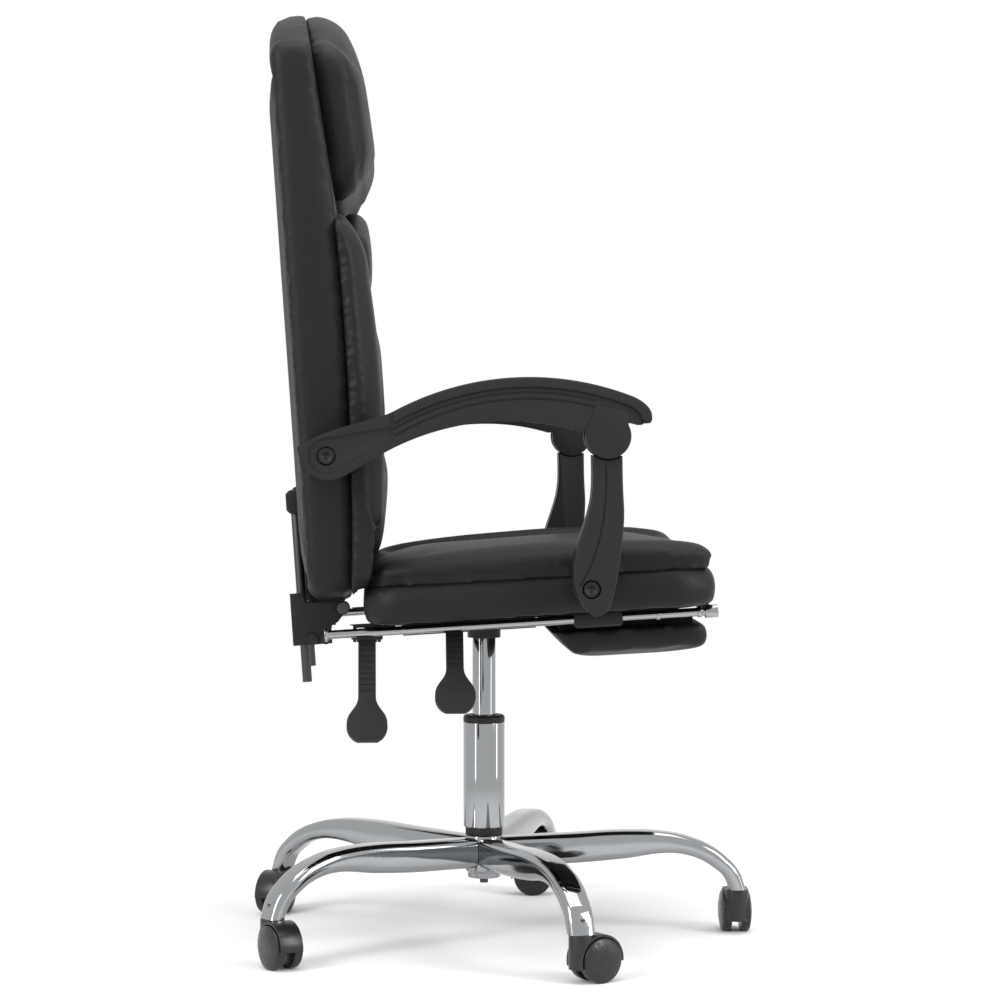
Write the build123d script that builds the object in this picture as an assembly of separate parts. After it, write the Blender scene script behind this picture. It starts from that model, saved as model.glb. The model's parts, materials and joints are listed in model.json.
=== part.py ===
from build123d import *
import math
import os

# Reclining office chair, in millimetres.
# X points forward, Y to the sitter's left, Z up. The origin is on the floor, on the column axis.

# General fits
RUN_FIT = 0.05          # radial clearance of a shaft that turns or slides
GAP = 0.4               # room between faces that move past each other
SEAT_GAP = 0.3          # room behind a cushion that is sewn to the one below it

# Five-star base
LEG_COUNT = 5
STEM_RING = 308.0       # column axis to caster stem
LEG_TIP_Z = 54.5
LEG_ROOT_Z = 102.5
LEG_WIDTH = 33.0
LEG_DEPTH = 36.0
LEG_TIP_DEPTH = 20.0
LEG_CORNER = 6.5
HUB_R = 23.0
HUB_BOTTOM = 71.5
HUB_TOP = 122.5
SOCKET_R = 19.0         # bore of the hub, which grips the column tail
COLLAR_R = 22.5
COLLAR_HEIGHT = 10.0

# Gas column
COLUMN_R = 25.0
COLUMN_WALL = 1.5
COLUMN_TOP = 259.5
TAIL_WALL = 3.0
FLOOR_PLATE = 4.0       # bottom plate of the column tube
BUSH_FLANGE = 8.5
BUSH_DEPTH = 55.0
CYLINDER_R = 14.0
CYLINDER_WALL = 2.0
CYLINDER_BOTTOM = 169.5
CYLINDER_TOP = 378.0
CYLINDER_CAP = 8.0
ROD_R = 5.0
ROD_TAIL = 7.0          # rod end below the column's bottom plate
PISTON_LENGTH = 12.0
BEARING_R = 15.0
BEARING_HEIGHT = 8.0
CLIP_R = 8.0
CLIP_THICK = 1.6
BUTTON_R = 4.0
BUTTON_PROUD = 4.5
BUTTON_DEPTH = 6.0

# Casters
WHEEL_R = 25.0
WHEEL_WIDTH = 14.0
WHEEL_SPACE = 12.0      # room between the two wheels of a caster
WHEEL_DOME = 4.0
CASTER_TRAIL = 19.0
CASTER_WEB = 5.0        # half the thickness of the web between the wheels
HOOD_GAP = 1.4
HOOD_WALL = 2.6
HOOD_HALF = 14.0
HOOD_SOCKET_R = 14.0
HOOD_SOCKET_LOW = 16.0
STEM_R = 5.5
STEM_IN_LEG = 17.0
STEM_IN_HOOD = 11.0
AXLE_R = 3.0
CASTER_HEADING = (90.0, 180.0, 243.0, 300.0, 31.0)   # trailing direction of each caster

# Seat, in a frame tilted nose up about the column axis
SEAT_TILT = 3.4
SEAT_BOTTOM = 397.7  # height of the seat's underside on the column axis
SEAT_REAR = -145.0
SEAT_FRONT = 254.0
SEAT_HALF = 245.0
SEAT_CORNER = 42.0
SEAT_BOX = 47.0         # thickness of the lower seat cushion
SEAT_TOP = 31.0         # thickness of the top cushion at its side rolls
SEAT_ROLL = 62.0        # width of each side roll
SEAT_DIP = 13.0         # channel beside the roll
SEAT_CROWN = 8.0
BOARD_THICK = 12.0
BOARD_INSET = 16.0
BOARD_HOLE_R = 34.0     # hole over the column, for the lift lever

# Tilt plate under the seat
PLATE_REAR = -100.0
PLATE_FRONT = 58.0
PAN_HALF = 55.0
PAN_DEPTH = 24.0
PLATE_FLANGE = 30.0
SHEET = 3.0
CONE_R = 20.0
CONE_DROP = 12.0

# Lift lever and recline lever
LEVER_SLOPE = 65.0      # handle below the horizontal
LEVER_ROD_R = 4.0
LEVER_INSET = 79.0      # seat side to the end of the lift rod
LEVER_ROD_END = SEAT_HALF - LEVER_INSET
LIFT_LEVER_X = -41.0
LIFT_SHAFT = 52.0
LIFT_PIVOT_R = 2.0
LIFT_PIVOT_HALF = 8.0
RECLINE_LEVER_X = -141.0
RECLINE_LEVER_Y = -SEAT_HALF + 73.0
RECLINE_LEVER_Z = 376.0
RECLINE_SHAFT = 74.0
HANDLE_HALF = 10.0
HANDLE_THICK = 8.0
HANDLE_BOSS_R = 7.0
LEVER_POCKET = 5.5      # depth of the pocket over the lift lever
LEVER_ROOM = 4.0
PADDLE_HALF = 23.0
PADDLE_LENGTH = 53.0
PADDLE_CORNER = 12.0
RIB_PITCH = 7.0
RIB_WIDTH = 2.4
RIB_DEPTH = 1.2
LEVER_EAR = 4.0
LEVER_EAR_GAP = 24.0

# Footrest, in the seat's tilted frame
RAIL_INSET = 55.0       # seat side to the rail's axis
RAIL_Y = SEAT_HALF - RAIL_INSET
RAIL_R = 5.0
RAIL_DROP = 7.9  # rail axis below the seat's underside
RAIL_REAR = -190.0
RAIL_FRONT = 252.0      # axis of the pad's hinge
RAIL_END_R = 7.5
RAIL_END_LENGTH = 15.0
RAIL_CAP_LENGTH = 4.0
RAIL_RING_R = 6.2
RAIL_RING_LENGTH = 5.0
RAIL_RING_X = (188.0, 236.0)
HINGE_ROD_R = 4.0
GUIDE_REAR = 94.0
GUIDE_LENGTH = 55.0
GUIDE_HALF = 12.0
GUIDE_BELOW = 4.5
PAD_HALF = 164.0
PAD_REAR = 68.0
PAD_FRONT = 246.5
PAD_TOP = -15.0
PAD_THICK = 38.0
PAD_SLANT = 24.0
PAD_BOARD = 8.0
PAD_EAR_Y = 120.0
PAD_EAR_WIDTH = 16.0
PAD_LEAF = 70.0         # length of the leaf on the pad
PAD_EAR_R = 7.0

# Recline hinge and back frame
HINGE_X = -168.5
HINGE_Z = 407.5
BACK_LEAN = 3.9
HINGE_PIN_R = 4.0
HINGE_EAR_R = 8.0
HINGE_INSET = 90.0      # seat side to the recline hinge
HINGE_EAR_Y = SEAT_HALF - HINGE_INSET  # face where the seat's ear meets the back's cheek
HINGE_PLATE = 4.0
HINGE_ARM_END = 60.0    # how far the seat's ear reaches forward under the board
BRACKET_REAR = -60.0    # in the back's leaning frame, from the hinge
BRACKET_TOP = 20.0
BRACKET_BOTTOM = -40.0
BRACKET_FRONT = -9.0
CARRIER_INSET = 45.0    # recline hinge to the carrier rod
CARRIER_Y = HINGE_EAR_Y - CARRIER_INSET
CARRIER_R = 5.5
CARRIER_X = -48.0
CARRIER_TOP = 134.0
CARRIER_BOTTOM = -86.0
CLAMP_HEIGHT = 27.0
CLAMP_WIDTH = 30.0
TIE_R = 4.0
TIE_X = (-37.0, -22.0)
TIE_Z = -34.0

# Back cushions, in the back's leaning frame
BACK_REAR = -39.0
BACK_INSET = 17.0       # seat side to the back's side
BACK_HALF_LOW = SEAT_HALF - BACK_INSET
BACK_SPREAD = 8.0       # how much wider the back is at its shoulders
BACK_HALF_HIGH = BACK_HALF_LOW + BACK_SPREAD
BACK_BOTTOM = 12.0
SLAB_EDGE = 10.0        # how far the slab's edge is drawn in
BACK_SIDE_TOP = 643.0
BACK_CENTRE_TOP = 699.0
BACK_CORNER_LOW = 46.0
BACK_CORNER_HIGH = 16.0
FACE_SHOULDER = 443.0   # where the front face starts to lean back
FACE_X = 25.0
FACE_TOP_X = 2.0
FACE_BOTTOM_X = 14.0
PANEL_THICK = 12.0
PANEL_INSET = 16.0
PILLOW_HALF_LOW = 206.0
PILLOW_HALF_HIGH = 217.0
PILLOW_DEPTH = 51.0
PAD_SIDE = 150.0        # half width of the middle back pads
UPPER_PAD_LOW = 363.0
UPPER_PAD_HIGH = 432.0
UPPER_PAD_ARCH = 464.0
UPPER_PAD_DEPTH = 32.0
LUMBAR_SPLIT = 186.0
LUMBAR_LOW = 64.0
LUMBAR_HIGH = 358.0
LUMBAR_DEPTH = 31.0
BOLSTER_OUTER = 238.0
BOLSTER_TIP = 453.0
BOLSTER_NOSE = (46.0, 27.0)   # front of the bolster, and how far that is below its tip
BOLSTER_BROW = (56.0, 78.0)
BOLSTER_FULL = 61.5
BOLSTER_KNEE = (52.0, 92.0)   # front of the bolster and its height
BOLSTER_SWELL = (0.31, 0.72)   # where the bolster is fullest, as shares of its width

# Arms and their posts
POST_CLEAR = 9.0        # seat side to post
POST_WIDTH = 35.0
ARM_WIDTH = 42.0
ARM_STEP = 2.0          # how much nearer the seat the arm's inner face is than the post's
POST_IN = SEAT_HALF + POST_CLEAR
POST_OUT = POST_IN + POST_WIDTH
ARM_IN = POST_IN - ARM_STEP
ARM_OUT = ARM_IN + ARM_WIDTH
ARM_PIVOT_X = -185.5
ARM_PIVOT_Z = 582.5
KNUCKLE_X = 125.0
KNUCKLE_Z = 604.5
KNUCKLE_R = 25.0
KNUCKLE_PROUD = 2.0
ARM_CROWN = 65.0        # crown of the arm above the knuckle
ARM_BEAM = 48.5         # crown of the arm to the crown of its lower edge
ARM_TOP_R = 315.0
ARM_TOP_C = (38.0, KNUCKLE_Z + ARM_CROWN - ARM_TOP_R)
ARM_LOW_R = ARM_TOP_R - 29.5
ARM_LOW_C = (15.0, KNUCKLE_Z + ARM_CROWN - ARM_BEAM - ARM_LOW_R)
ARM_PAD_THICK = 11.0
ARM_PAD_EDGE = 3.0      # how far the pad is wider than the shell, each side
ARM_PAD_REAR = -112.0
ARM_PAD_FRONT = 150.0
ARM_GROOVE_DROP = (16.0, 23.0)
ARM_GROOVE = 2.5
ARM_GROOVE_DEPTH = 1.6
ARM_EDGE = 1.5
SPOON_R = 20.0          # recess in the rear lobe
SPOON_DEPTH = 3.0
SPOON_TAIL = 78.0
SPOON_RISE = 20.0
POST_GROOVE = 2.5
TONGUE = 7.0            # half thickness of the post's tongue
TONGUE_R = 21.0
LINK_SLACK = 1.4        # radial clearance of the open pivot in the knuckle
POST_PIVOT_X = 107.0
POST_PIVOT_Z = 435.0
PIN_R = 4.0
STUD_R = 5.0
STUD_FLANGE_R = 18.0
STUD_FLANGE = 4.0
STUD_HEAD_R = 9.0
STUD_HEAD = 5.0
HEAD_ROOM = 1.5

SIN45 = math.sin(math.radians(45))


def across(outline, y_from, y_to):
    """Extrude a side outline, drawn in X and Z, between two Y planes."""
    plane = Plane((0, y_from, 0), x_dir=(1, 0, 0), z_dir=(0, -1, 0))
    return extrude(plane * outline, abs(y_to - y_from), dir=(0, math.copysign(1, y_to - y_from), 0))


def cross_bar(radius, x, z, y_from, y_to):
    """Round bar along Y."""
    return across(Pos(x, z) * Circle(radius), y_from, y_to)


def long_bar(radius, y, z, x_from, x_to):
    """Round bar along X."""
    return extrude(Plane((x_from, y, z), z_dir=(1, 0, 0)) * Circle(radius), x_to - x_from)


def upright(radius, x, y, z_from, z_to):
    """Round bar along Z."""
    return Pos(x, y, z_from) * extrude(Circle(radius), z_to - z_from)


def block(x_from, x_to, y_from, y_to, z_from, z_to):
    """Box between two corners."""
    size = (x_to - x_from, y_to - y_from, z_to - z_from)
    return Pos((x_from + x_to) / 2, (y_from + y_to) / 2, (z_from + z_to) / 2) * Box(*size)


def turned(points):
    """Solid of revolution about Z from (radius, height) points."""
    return revolve(Plane.XZ * make_face(Polyline(*points, close=True)), Axis.Z)


def frame_at(x, z, angle):
    """Frame tilted nose up by an angle about Y."""
    a = math.radians(angle)
    across_x = (math.cos(a), 0, math.sin(a))
    return Plane((x, 0, z), x_dir=across_x, z_dir=(-math.sin(a), 0, math.cos(a))).location


def facing(x, outline):
    """Put an outline drawn in Y and Z on the plane at X."""
    return Plane((x, 0, 0), x_dir=(0, 1, 0), z_dir=(1, 0, 0)) * outline


def broken_rims(part, size, *planes, keep=lambda edge: True):
    """Chamfer the edges that lie in the given Y planes and pass a test."""
    rims = []
    for edge in part.edges():
        low, high = edge.bounding_box().min.Y, edge.bounding_box().max.Y
        if any(abs(low - y) < 0.01 and abs(high - y) < 0.01 for y in planes) and keep(edge):
            rims.append(edge)
    return chamfer(rims, size)


def padded(sections):
    """Cushion through a row of sections, straight from each to the next."""
    return loft(sections, ruled=True)


def both_sides(part):
    """The right-hand part and its mirror image."""
    return Compound(children=[part, mirror(part, about=Plane.XZ)])


SEAT = frame_at(0, SEAT_BOTTOM, SEAT_TILT)
BACK = frame_at(HINGE_X, HINGE_Z, BACK_LEAN)
TILT = math.radians(SEAT_TILT)
LEG_ANGLE = 360.0 / LEG_COUNT


# Five-star base

def leg_section(ring, height, angle, width, depth):
    """Rounded section of a leg, square to its path."""
    a = math.radians(angle)
    plane = Plane((ring, 0, height), x_dir=(0, 1, 0), z_dir=(math.cos(a), 0, math.sin(a)))
    return plane * RectangleRounded(width, depth, min(LEG_CORNER, 0.45 * min(width, depth)))


def base_leg():
    """Pressed leg: level and deep at the hub, then bent down to the caster socket."""
    root = HUB_R - 1.0
    drop = LEG_ROOT_Z - LEG_TIP_Z
    slim = LEG_TIP_DEPTH
    rows = (
        (root, 0, 0, 0.88, LEG_DEPTH), (0.34 * STEM_RING, 3.5, 1, 1.0, LEG_DEPTH),
        (0.545 * STEM_RING, 7.5, 1, 1.0, 0.95 * LEG_DEPTH),
        (0.72 * STEM_RING, 9.5, -4, 1.0, 0.68 * LEG_DEPTH),
        (0.8 * STEM_RING, 5.5, -20, 1.0, slim + 2.0), (0.875 * STEM_RING, -3.0, -37, 1.0, slim + 1.2),
        (0.93 * STEM_RING, -14.5, -53, 0.98, slim + 0.6), (0.972 * STEM_RING, -0.58 * drop, -70, 0.95, slim),
        (STEM_RING, -drop, -90, 0.92, slim),
    )
    sections = [leg_section(ring, LEG_ROOT_Z + rise, slope, share * LEG_WIDTH, depth)
                for ring, rise, slope, share, depth in rows]
    leg = loft(sections, ruled=True) - upright(HUB_R, 0, 0, HUB_BOTTOM, HUB_TOP)
    return leg - upright(STEM_R + RUN_FIT, STEM_RING, 0, LEG_TIP_Z - 1, LEG_TIP_Z + STEM_IN_LEG + 1)


def base_hub():
    """Hub tube that the legs are welded to, with a lip at its foot."""
    lip = 3.0
    return turned([
        (SOCKET_R, HUB_BOTTOM), (HUB_R - lip, HUB_BOTTOM), (HUB_R - lip, HUB_BOTTOM + 2 * lip),
        (HUB_R, HUB_BOTTOM + 3 * lip), (HUB_R, HUB_TOP), (SOCKET_R, HUB_TOP),
    ])


def column_tube():
    """Outer tube of the gas column: a wide barrel above a narrow tail."""
    barrel = HUB_TOP + COLLAR_HEIGHT
    bore = COLUMN_R - COLUMN_WALL
    tail = SOCKET_R - TAIL_WALL
    return turned([
        (ROD_R + RUN_FIT, HUB_BOTTOM), (SOCKET_R, HUB_BOTTOM), (SOCKET_R, barrel), (COLUMN_R - 1, barrel),
        (COLUMN_R, barrel + 1), (COLUMN_R, COLUMN_TOP), (bore, COLUMN_TOP), (bore, barrel + TAIL_WALL),
        (tail, barrel + TAIL_WALL), (tail, HUB_BOTTOM + FLOOR_PLATE), (ROD_R + RUN_FIT,
            HUB_BOTTOM + FLOOR_PLATE),
    ])


def column_collar():
    """Plastic collar between the barrel and the hub."""
    top = HUB_TOP + COLLAR_HEIGHT
    return turned([
        (SOCKET_R, HUB_TOP), (COLLAR_R - 1, HUB_TOP), (COLLAR_R, HUB_TOP + 1), (COLLAR_R, top),
        (SOCKET_R, top),
    ])


def column_bush():
    """Guide bush pressed into the barrel, with a flange on the rim."""
    bore = CYLINDER_R + RUN_FIT
    body = COLUMN_R - COLUMN_WALL
    low, rim = COLUMN_TOP - BUSH_DEPTH, COLUMN_TOP + BUSH_FLANGE
    return turned([
        (bore, low), (body, low), (body, COLUMN_TOP), (COLUMN_R, COLUMN_TOP), (COLUMN_R, rim - 2),
        (COLUMN_R - 2, rim), (bore, rim),
    ])


def thrust_bearing():
    """Thrust bearing that carries the rod on the column's bottom plate."""
    low = HUB_BOTTOM + FLOOR_PLATE
    return turned([
        (ROD_R + RUN_FIT, low), (BEARING_R, low), (BEARING_R, low + BEARING_HEIGHT),
        (ROD_R + RUN_FIT, low + BEARING_HEIGHT),
    ])


# Gas lift

def gas_piston_rod():
    """Piston rod with its head and shoulder, and the clip that holds its end."""
    shoulder = HUB_BOTTOM + FLOOR_PLATE + BEARING_HEIGHT
    head = CYLINDER_BOTTOM + CYLINDER_CAP + 2
    bore = CYLINDER_R - CYLINDER_WALL - RUN_FIT
    foot = HUB_BOTTOM - ROD_TAIL
    rod = turned([
        (0, foot), (ROD_R, foot), (ROD_R, shoulder), (ROD_R + 4, shoulder), (ROD_R + 4, shoulder + 4),
        (ROD_R, shoulder + 4), (ROD_R, head), (bore, head), (bore, head + PISTON_LENGTH), (0,
            head + PISTON_LENGTH),
    ])
    clip = turned([
        (ROD_R, HUB_BOTTOM - CLIP_THICK), (CLIP_R, HUB_BOTTOM - CLIP_THICK), (CLIP_R, HUB_BOTTOM),
        (ROD_R, HUB_BOTTOM),
    ])
    return Compound(children=[rod, clip])


def gas_cylinder():
    """Chromed cylinder that rises with the seat, closed at the top round the valve."""
    bore = CYLINDER_R - CYLINDER_WALL
    valve = BUTTON_R + RUN_FIT
    ceiling = CYLINDER_TOP - BUTTON_DEPTH - BUTTON_PROUD
    return turned([
        (ROD_R + RUN_FIT, CYLINDER_BOTTOM), (CYLINDER_R, CYLINDER_BOTTOM), (CYLINDER_R, CYLINDER_TOP),
        (valve, CYLINDER_TOP), (valve, ceiling), (bore, ceiling), (bore, CYLINDER_BOTTOM + CYLINDER_CAP),
        (ROD_R + RUN_FIT, CYLINDER_BOTTOM + CYLINDER_CAP),
    ])


def gas_valve_button():
    """Valve pin that the lift lever presses."""
    return upright(BUTTON_R, 0, 0, CYLINDER_TOP - BUTTON_DEPTH, CYLINDER_TOP + BUTTON_PROUD)


# Casters, drawn with the stem on the Z axis and the wheels trailing along X

def caster_sector(radius, half):
    """Upper part of a disc round the axle, from behind the wheel to below the socket."""
    disc = cross_bar(radius, CASTER_TRAIL, WHEEL_R, -half, half)
    keep = across(make_face(Polyline(
        (CASTER_TRAIL, WHEEL_R), (CASTER_TRAIL + 3 * WHEEL_R, WHEEL_R - 6),
        (CASTER_TRAIL + 3 * WHEEL_R, 4 * WHEEL_R),
        (CASTER_TRAIL - 3 * WHEEL_R, 4 * WHEEL_R), (CASTER_TRAIL - 3 * WHEEL_R, WHEEL_R - 18),
        close=True)), -half, half)
    return disc & keep


def caster_hood():
    """Moulded hood: a stem socket, a fender over both wheels and a web between them."""
    inner = WHEEL_R + HOOD_GAP
    outer = inner + HOOD_WALL
    top = LEG_TIP_Z - GAP
    fender = caster_sector(outer, HOOD_HALF) - caster_sector(inner, HOOD_HALF + 1)
    web = caster_sector(outer - 1, CASTER_WEB) + cross_bar(3 * AXLE_R, CASTER_TRAIL, WHEEL_R,
        -CASTER_WEB, CASTER_WEB)
    room = cross_bar(inner, CASTER_TRAIL, WHEEL_R, -WHEEL_R, WHEEL_R)
    socket = upright(HOOD_SOCKET_R, 0, 0, HOOD_SOCKET_LOW, top) - room
    hood = socket + fender + web
    hood -= upright(STEM_R, 0, 0, LEG_TIP_Z - STEM_IN_HOOD, top + 1)
    return hood - cross_bar(AXLE_R, CASTER_TRAIL, WHEEL_R, -HOOD_HALF, HOOD_HALF)


def caster_pins():
    """Steel stem and axle of a caster."""
    reach = WHEEL_SPACE / 2 + 0.75 * WHEEL_WIDTH
    stem = upright(STEM_R, 0, 0, LEG_TIP_Z - STEM_IN_HOOD, LEG_TIP_Z + STEM_IN_LEG)
    return Compound(children=[stem, cross_bar(AXLE_R, CASTER_TRAIL, WHEEL_R, -reach, reach)])


def caster_wheels():
    """Twin wheels with a domed cap on each outer face."""
    inside = WHEEL_SPACE / 2
    edge = inside + WHEEL_WIDTH - WHEEL_DOME
    hub = AXLE_R + RUN_FIT
    deep = inside + 0.8 * WHEEL_WIDTH
    dome = [(share * WHEEL_R, edge + rise * WHEEL_DOME)
            for share, rise in ((1, 0), (0.88, 0.35), (0.5, 0.85), (0, 1))]
    rim = [(0, deep), (hub, deep), (hub, inside), (WHEEL_R, inside)]
    return both_sides(Pos(CASTER_TRAIL, 0, WHEEL_R) * Rot(90, 0, 0) * turned(rim + dome))


# Seat

def board_plate(below=0.0):
    """Plan of the seat board, as a plate that can start below the seat's underside."""
    length = SEAT_FRONT - SEAT_REAR - 2 * BOARD_INSET
    plan = RectangleRounded(length, 2 * (SEAT_HALF - BOARD_INSET), SEAT_CORNER)
    return Pos((SEAT_FRONT + SEAT_REAR) / 2, 0, -below) * extrude(plan, BOARD_THICK + below)


def seat_board():
    """Covered seat board with a hole over the column and a pocket that the lifted lever rises into."""
    board = board_plate() - upright(BOARD_HOLE_R, 0, 0, -1, BOARD_THICK + 1)
    half, rear = HANDLE_HALF + LEVER_ROOM, LEVER_ROD_END + HANDLE_THICK
    front = LEVER_ROD_END - 2 * HANDLE_THICK - LEVER_ROOM
    board -= block(LIFT_LEVER_X - half, LIFT_LEVER_X + half, -rear - LEVER_ROOM, -front, -1, LEVER_POCKET)
    return SEAT * board


def seat_base_cushion():
    """Lower seat box: drawn-in sides, wrapped round the edge of the board."""
    length = SEAT_FRONT - SEAT_REAR
    middle = (SEAT_FRONT + SEAT_REAR) / 2
    rows = ((0, 9.0), (0.12, 2.5), (0.5, 0), (0.86, 3.0), (1, 10.0))
    sections = [
        Pos(middle, 0, share * SEAT_BOX) * RectangleRounded(length - 2 * inset,
            2 * (SEAT_HALF - inset), SEAT_CORNER)
        for share, inset in rows
    ]
    box = padded(sections) - board_plate(below=2.0)
    return SEAT * box - post_stud(-1) - post_stud(1)


def roll_section(half, height):
    """Section of the top cushion: a roll at each side and a crowned middle."""
    edge = half - 5.0
    side_mid, side_top = (half, 0.4 * height), (half - 7.0, 0.74 * height)
    valley = (half - SEAT_ROLL, height - SEAT_DIP * height / SEAT_TOP)
    crest = (half - 0.45 * SEAT_ROLL, height)
    crown = (0, valley[1] + SEAT_CROWN * height / SEAT_TOP)

    def left(p):
        return (-p[0], p[1])

    return make_face([
        Line((-edge, 0), (edge, 0)), ThreePointArc((edge, 0), side_mid, side_top),
        ThreePointArc(side_top, crest, valley), ThreePointArc(valley, crown, left(valley)),
        ThreePointArc(left(valley), left(crest), left(side_top)),
        ThreePointArc(left(side_top), left(side_mid), (-edge, 0)),
    ])


def seat_top_cushion():
    """Top cushion with raised side rolls, a sunk middle and a rounded front."""
    rows = (
        (SEAT_REAR + 6, 34.0, 0.45), (SEAT_REAR + 22, 12.0, 0.76), (SEAT_REAR + 55, 3.0, 0.88), (-10.0,
            1.0, 0.93),
        (75.0, 1.0, 0.98), (SEAT_FRONT - 90, 1.0, 1.0), (SEAT_FRONT - 50, 2.0, 0.98), (SEAT_FRONT - 22,
            7.0, 0.85),
        (SEAT_FRONT - 5, 20.0, 0.42),
    )
    sections = [facing(x, roll_section(SEAT_HALF - inset, share * SEAT_TOP)) for x, inset, share in rows]
    return SEAT * Pos(0, 0, SEAT_BOX + SEAT_GAP) * padded(sections)


def tilt_plate():
    """Pressed steel plate: a pan between two flanges, with the cone that grips the cylinder."""
    rim = PAN_HALF + PLATE_FLANGE
    hat = make_face(Polyline(
        (-rim, 0), (-PAN_HALF, 0), (-PAN_HALF, -PAN_DEPTH + SHEET), (PAN_HALF, -PAN_DEPTH + SHEET),
        (PAN_HALF, 0), (rim, 0),
        (rim, -SHEET), (PAN_HALF + SHEET, -SHEET), (PAN_HALF + SHEET, -PAN_DEPTH), (-PAN_HALF - SHEET,
            -PAN_DEPTH),
        (-PAN_HALF - SHEET, -SHEET), (-rim, -SHEET), close=True))
    pan = SEAT * extrude(facing(PLATE_REAR, hat), PLATE_FRONT - PLATE_REAR)
    low = SEAT_BOTTOM - PAN_DEPTH
    cone = upright(CONE_R, 0, 0, low - CONE_DROP, low + SHEET)
    slot = block(LIFT_LEVER_X - LEVER_ROD_R - 1, LIFT_LEVER_X + LEVER_ROD_R + 1, -PAN_HALF - 2 * SHEET,
        -PAN_HALF + SHEET,
                 lift_rod_z() - LEVER_ROD_R - GAP, lift_rod_z() + LEVER_ROD_R + GAP)
    wide = LIFT_PIVOT_HALF + GAP
    slot += block(LIFT_LEVER_X - wide, LIFT_LEVER_X + wide, -PAN_HALF - 2 * SHEET, -PAN_HALF + SHEET,
                  lift_rod_z() - LIFT_PIVOT_R - RUN_FIT, lift_rod_z() + LIFT_PIVOT_R + RUN_FIT)
    return pan + cone - upright(CYLINDER_R, 0, 0, low - 2 * CONE_DROP, SEAT_BOTTOM) - slot


def above_seat():
    """The room over the seat's underside, for trimming what is fixed beneath it."""
    return block(2 * SEAT_REAR, 2 * SEAT_FRONT, -2 * SEAT_HALF, 2 * SEAT_HALF, 0, 2 * SEAT_BOX)


def seat_hinge_ears():
    """Folded ears under the seat board that hold the recline pins and carry the back."""
    ear_y = -HINGE_EAR_Y
    reach = Pos(HINGE_X, HINGE_Z) * Circle(HINGE_EAR_R)
    top = SEAT_BOTTOM + (HINGE_X + HINGE_ARM_END) * math.tan(TILT)
    plate = make_face(Polyline(
        (HINGE_X, HINGE_Z + HINGE_EAR_R), (HINGE_X + 20, HINGE_Z + HINGE_EAR_R), (HINGE_X + 27, top - 2),
        (HINGE_X + HINGE_ARM_END, top), (HINGE_X + HINGE_ARM_END, top - 14),
        (HINGE_X + 8, HINGE_Z - 20), (HINGE_X, HINGE_Z - HINGE_EAR_R), close=True))
    web = across(reach + plate, ear_y - HINGE_PLATE, ear_y)
    foot_top = SEAT * block(HINGE_X + 34, HINGE_X + HINGE_ARM_END + 40, ear_y - HINGE_PLATE,
        ear_y + 30, -HINGE_PLATE, 0)
    ear = web + foot_top - cross_bar(HINGE_PIN_R, HINGE_X, HINGE_Z, ear_y - 2 * HINGE_PLATE,
        ear_y + HINGE_PLATE)
    ear -= SEAT * above_seat()
    return both_sides(ear)


def hinge_pins():
    """Recline pins: pressed into the seat's ears, turning in the back's cheeks."""
    face = HINGE_EAR_Y + HINGE_PLATE
    inner = HINGE_EAR_Y - GAP - HINGE_PLATE
    shank = cross_bar(HINGE_PIN_R, HINGE_X, HINGE_Z, -face, -inner + 3)
    head = cross_bar(HINGE_PIN_R + 3, HINGE_X, HINGE_Z, -face - 3.5, -face)
    nut = cross_bar(HINGE_PIN_R + 3, HINGE_X, HINGE_Z, -inner + GAP, -inner + 3)
    return both_sides(shank + head + nut)


def seat_bolts():
    """Bolts that hold the tilt plate to the seat board."""
    y = PAN_HALF + PLATE_FLANGE / 2
    heads = [
        SEAT * Pos(x, side * y, -SHEET) * turned([(0, -4), (5, -4), (6.5, -2.5), (6.5, 0), (0, 0)])
        for x in (PLATE_REAR + 14, PLATE_FRONT - 14) for side in (-1, 1)
    ]
    return Compound(children=heads)


def footrest_guides():
    """Guide blocks under the seat that the footrest rails slide in."""
    low = -RAIL_DROP - RAIL_R - GUIDE_BELOW
    guide = block(GUIDE_REAR, GUIDE_REAR + GUIDE_LENGTH, -RAIL_Y - GUIDE_HALF, -RAIL_Y + GUIDE_HALF,
        low, 0)
    guide = chamfer(guide.edges().group_by(Axis.Z)[0], 2.5)
    guide -= long_bar(RAIL_R + RUN_FIT, -RAIL_Y, -RAIL_DROP, GUIDE_REAR - 1,
        GUIDE_REAR + GUIDE_LENGTH + 1)
    return SEAT * both_sides(guide)


# Levers

def handle_plane(x, y, z):
    """Plane of a lever handle: its X runs across, its -Y runs down the handle."""
    a = math.radians(LEVER_SLOPE)
    return Plane((x, y, z), x_dir=(1, 0, 0), z_dir=(0, -math.sin(a), math.cos(a)))


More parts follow.
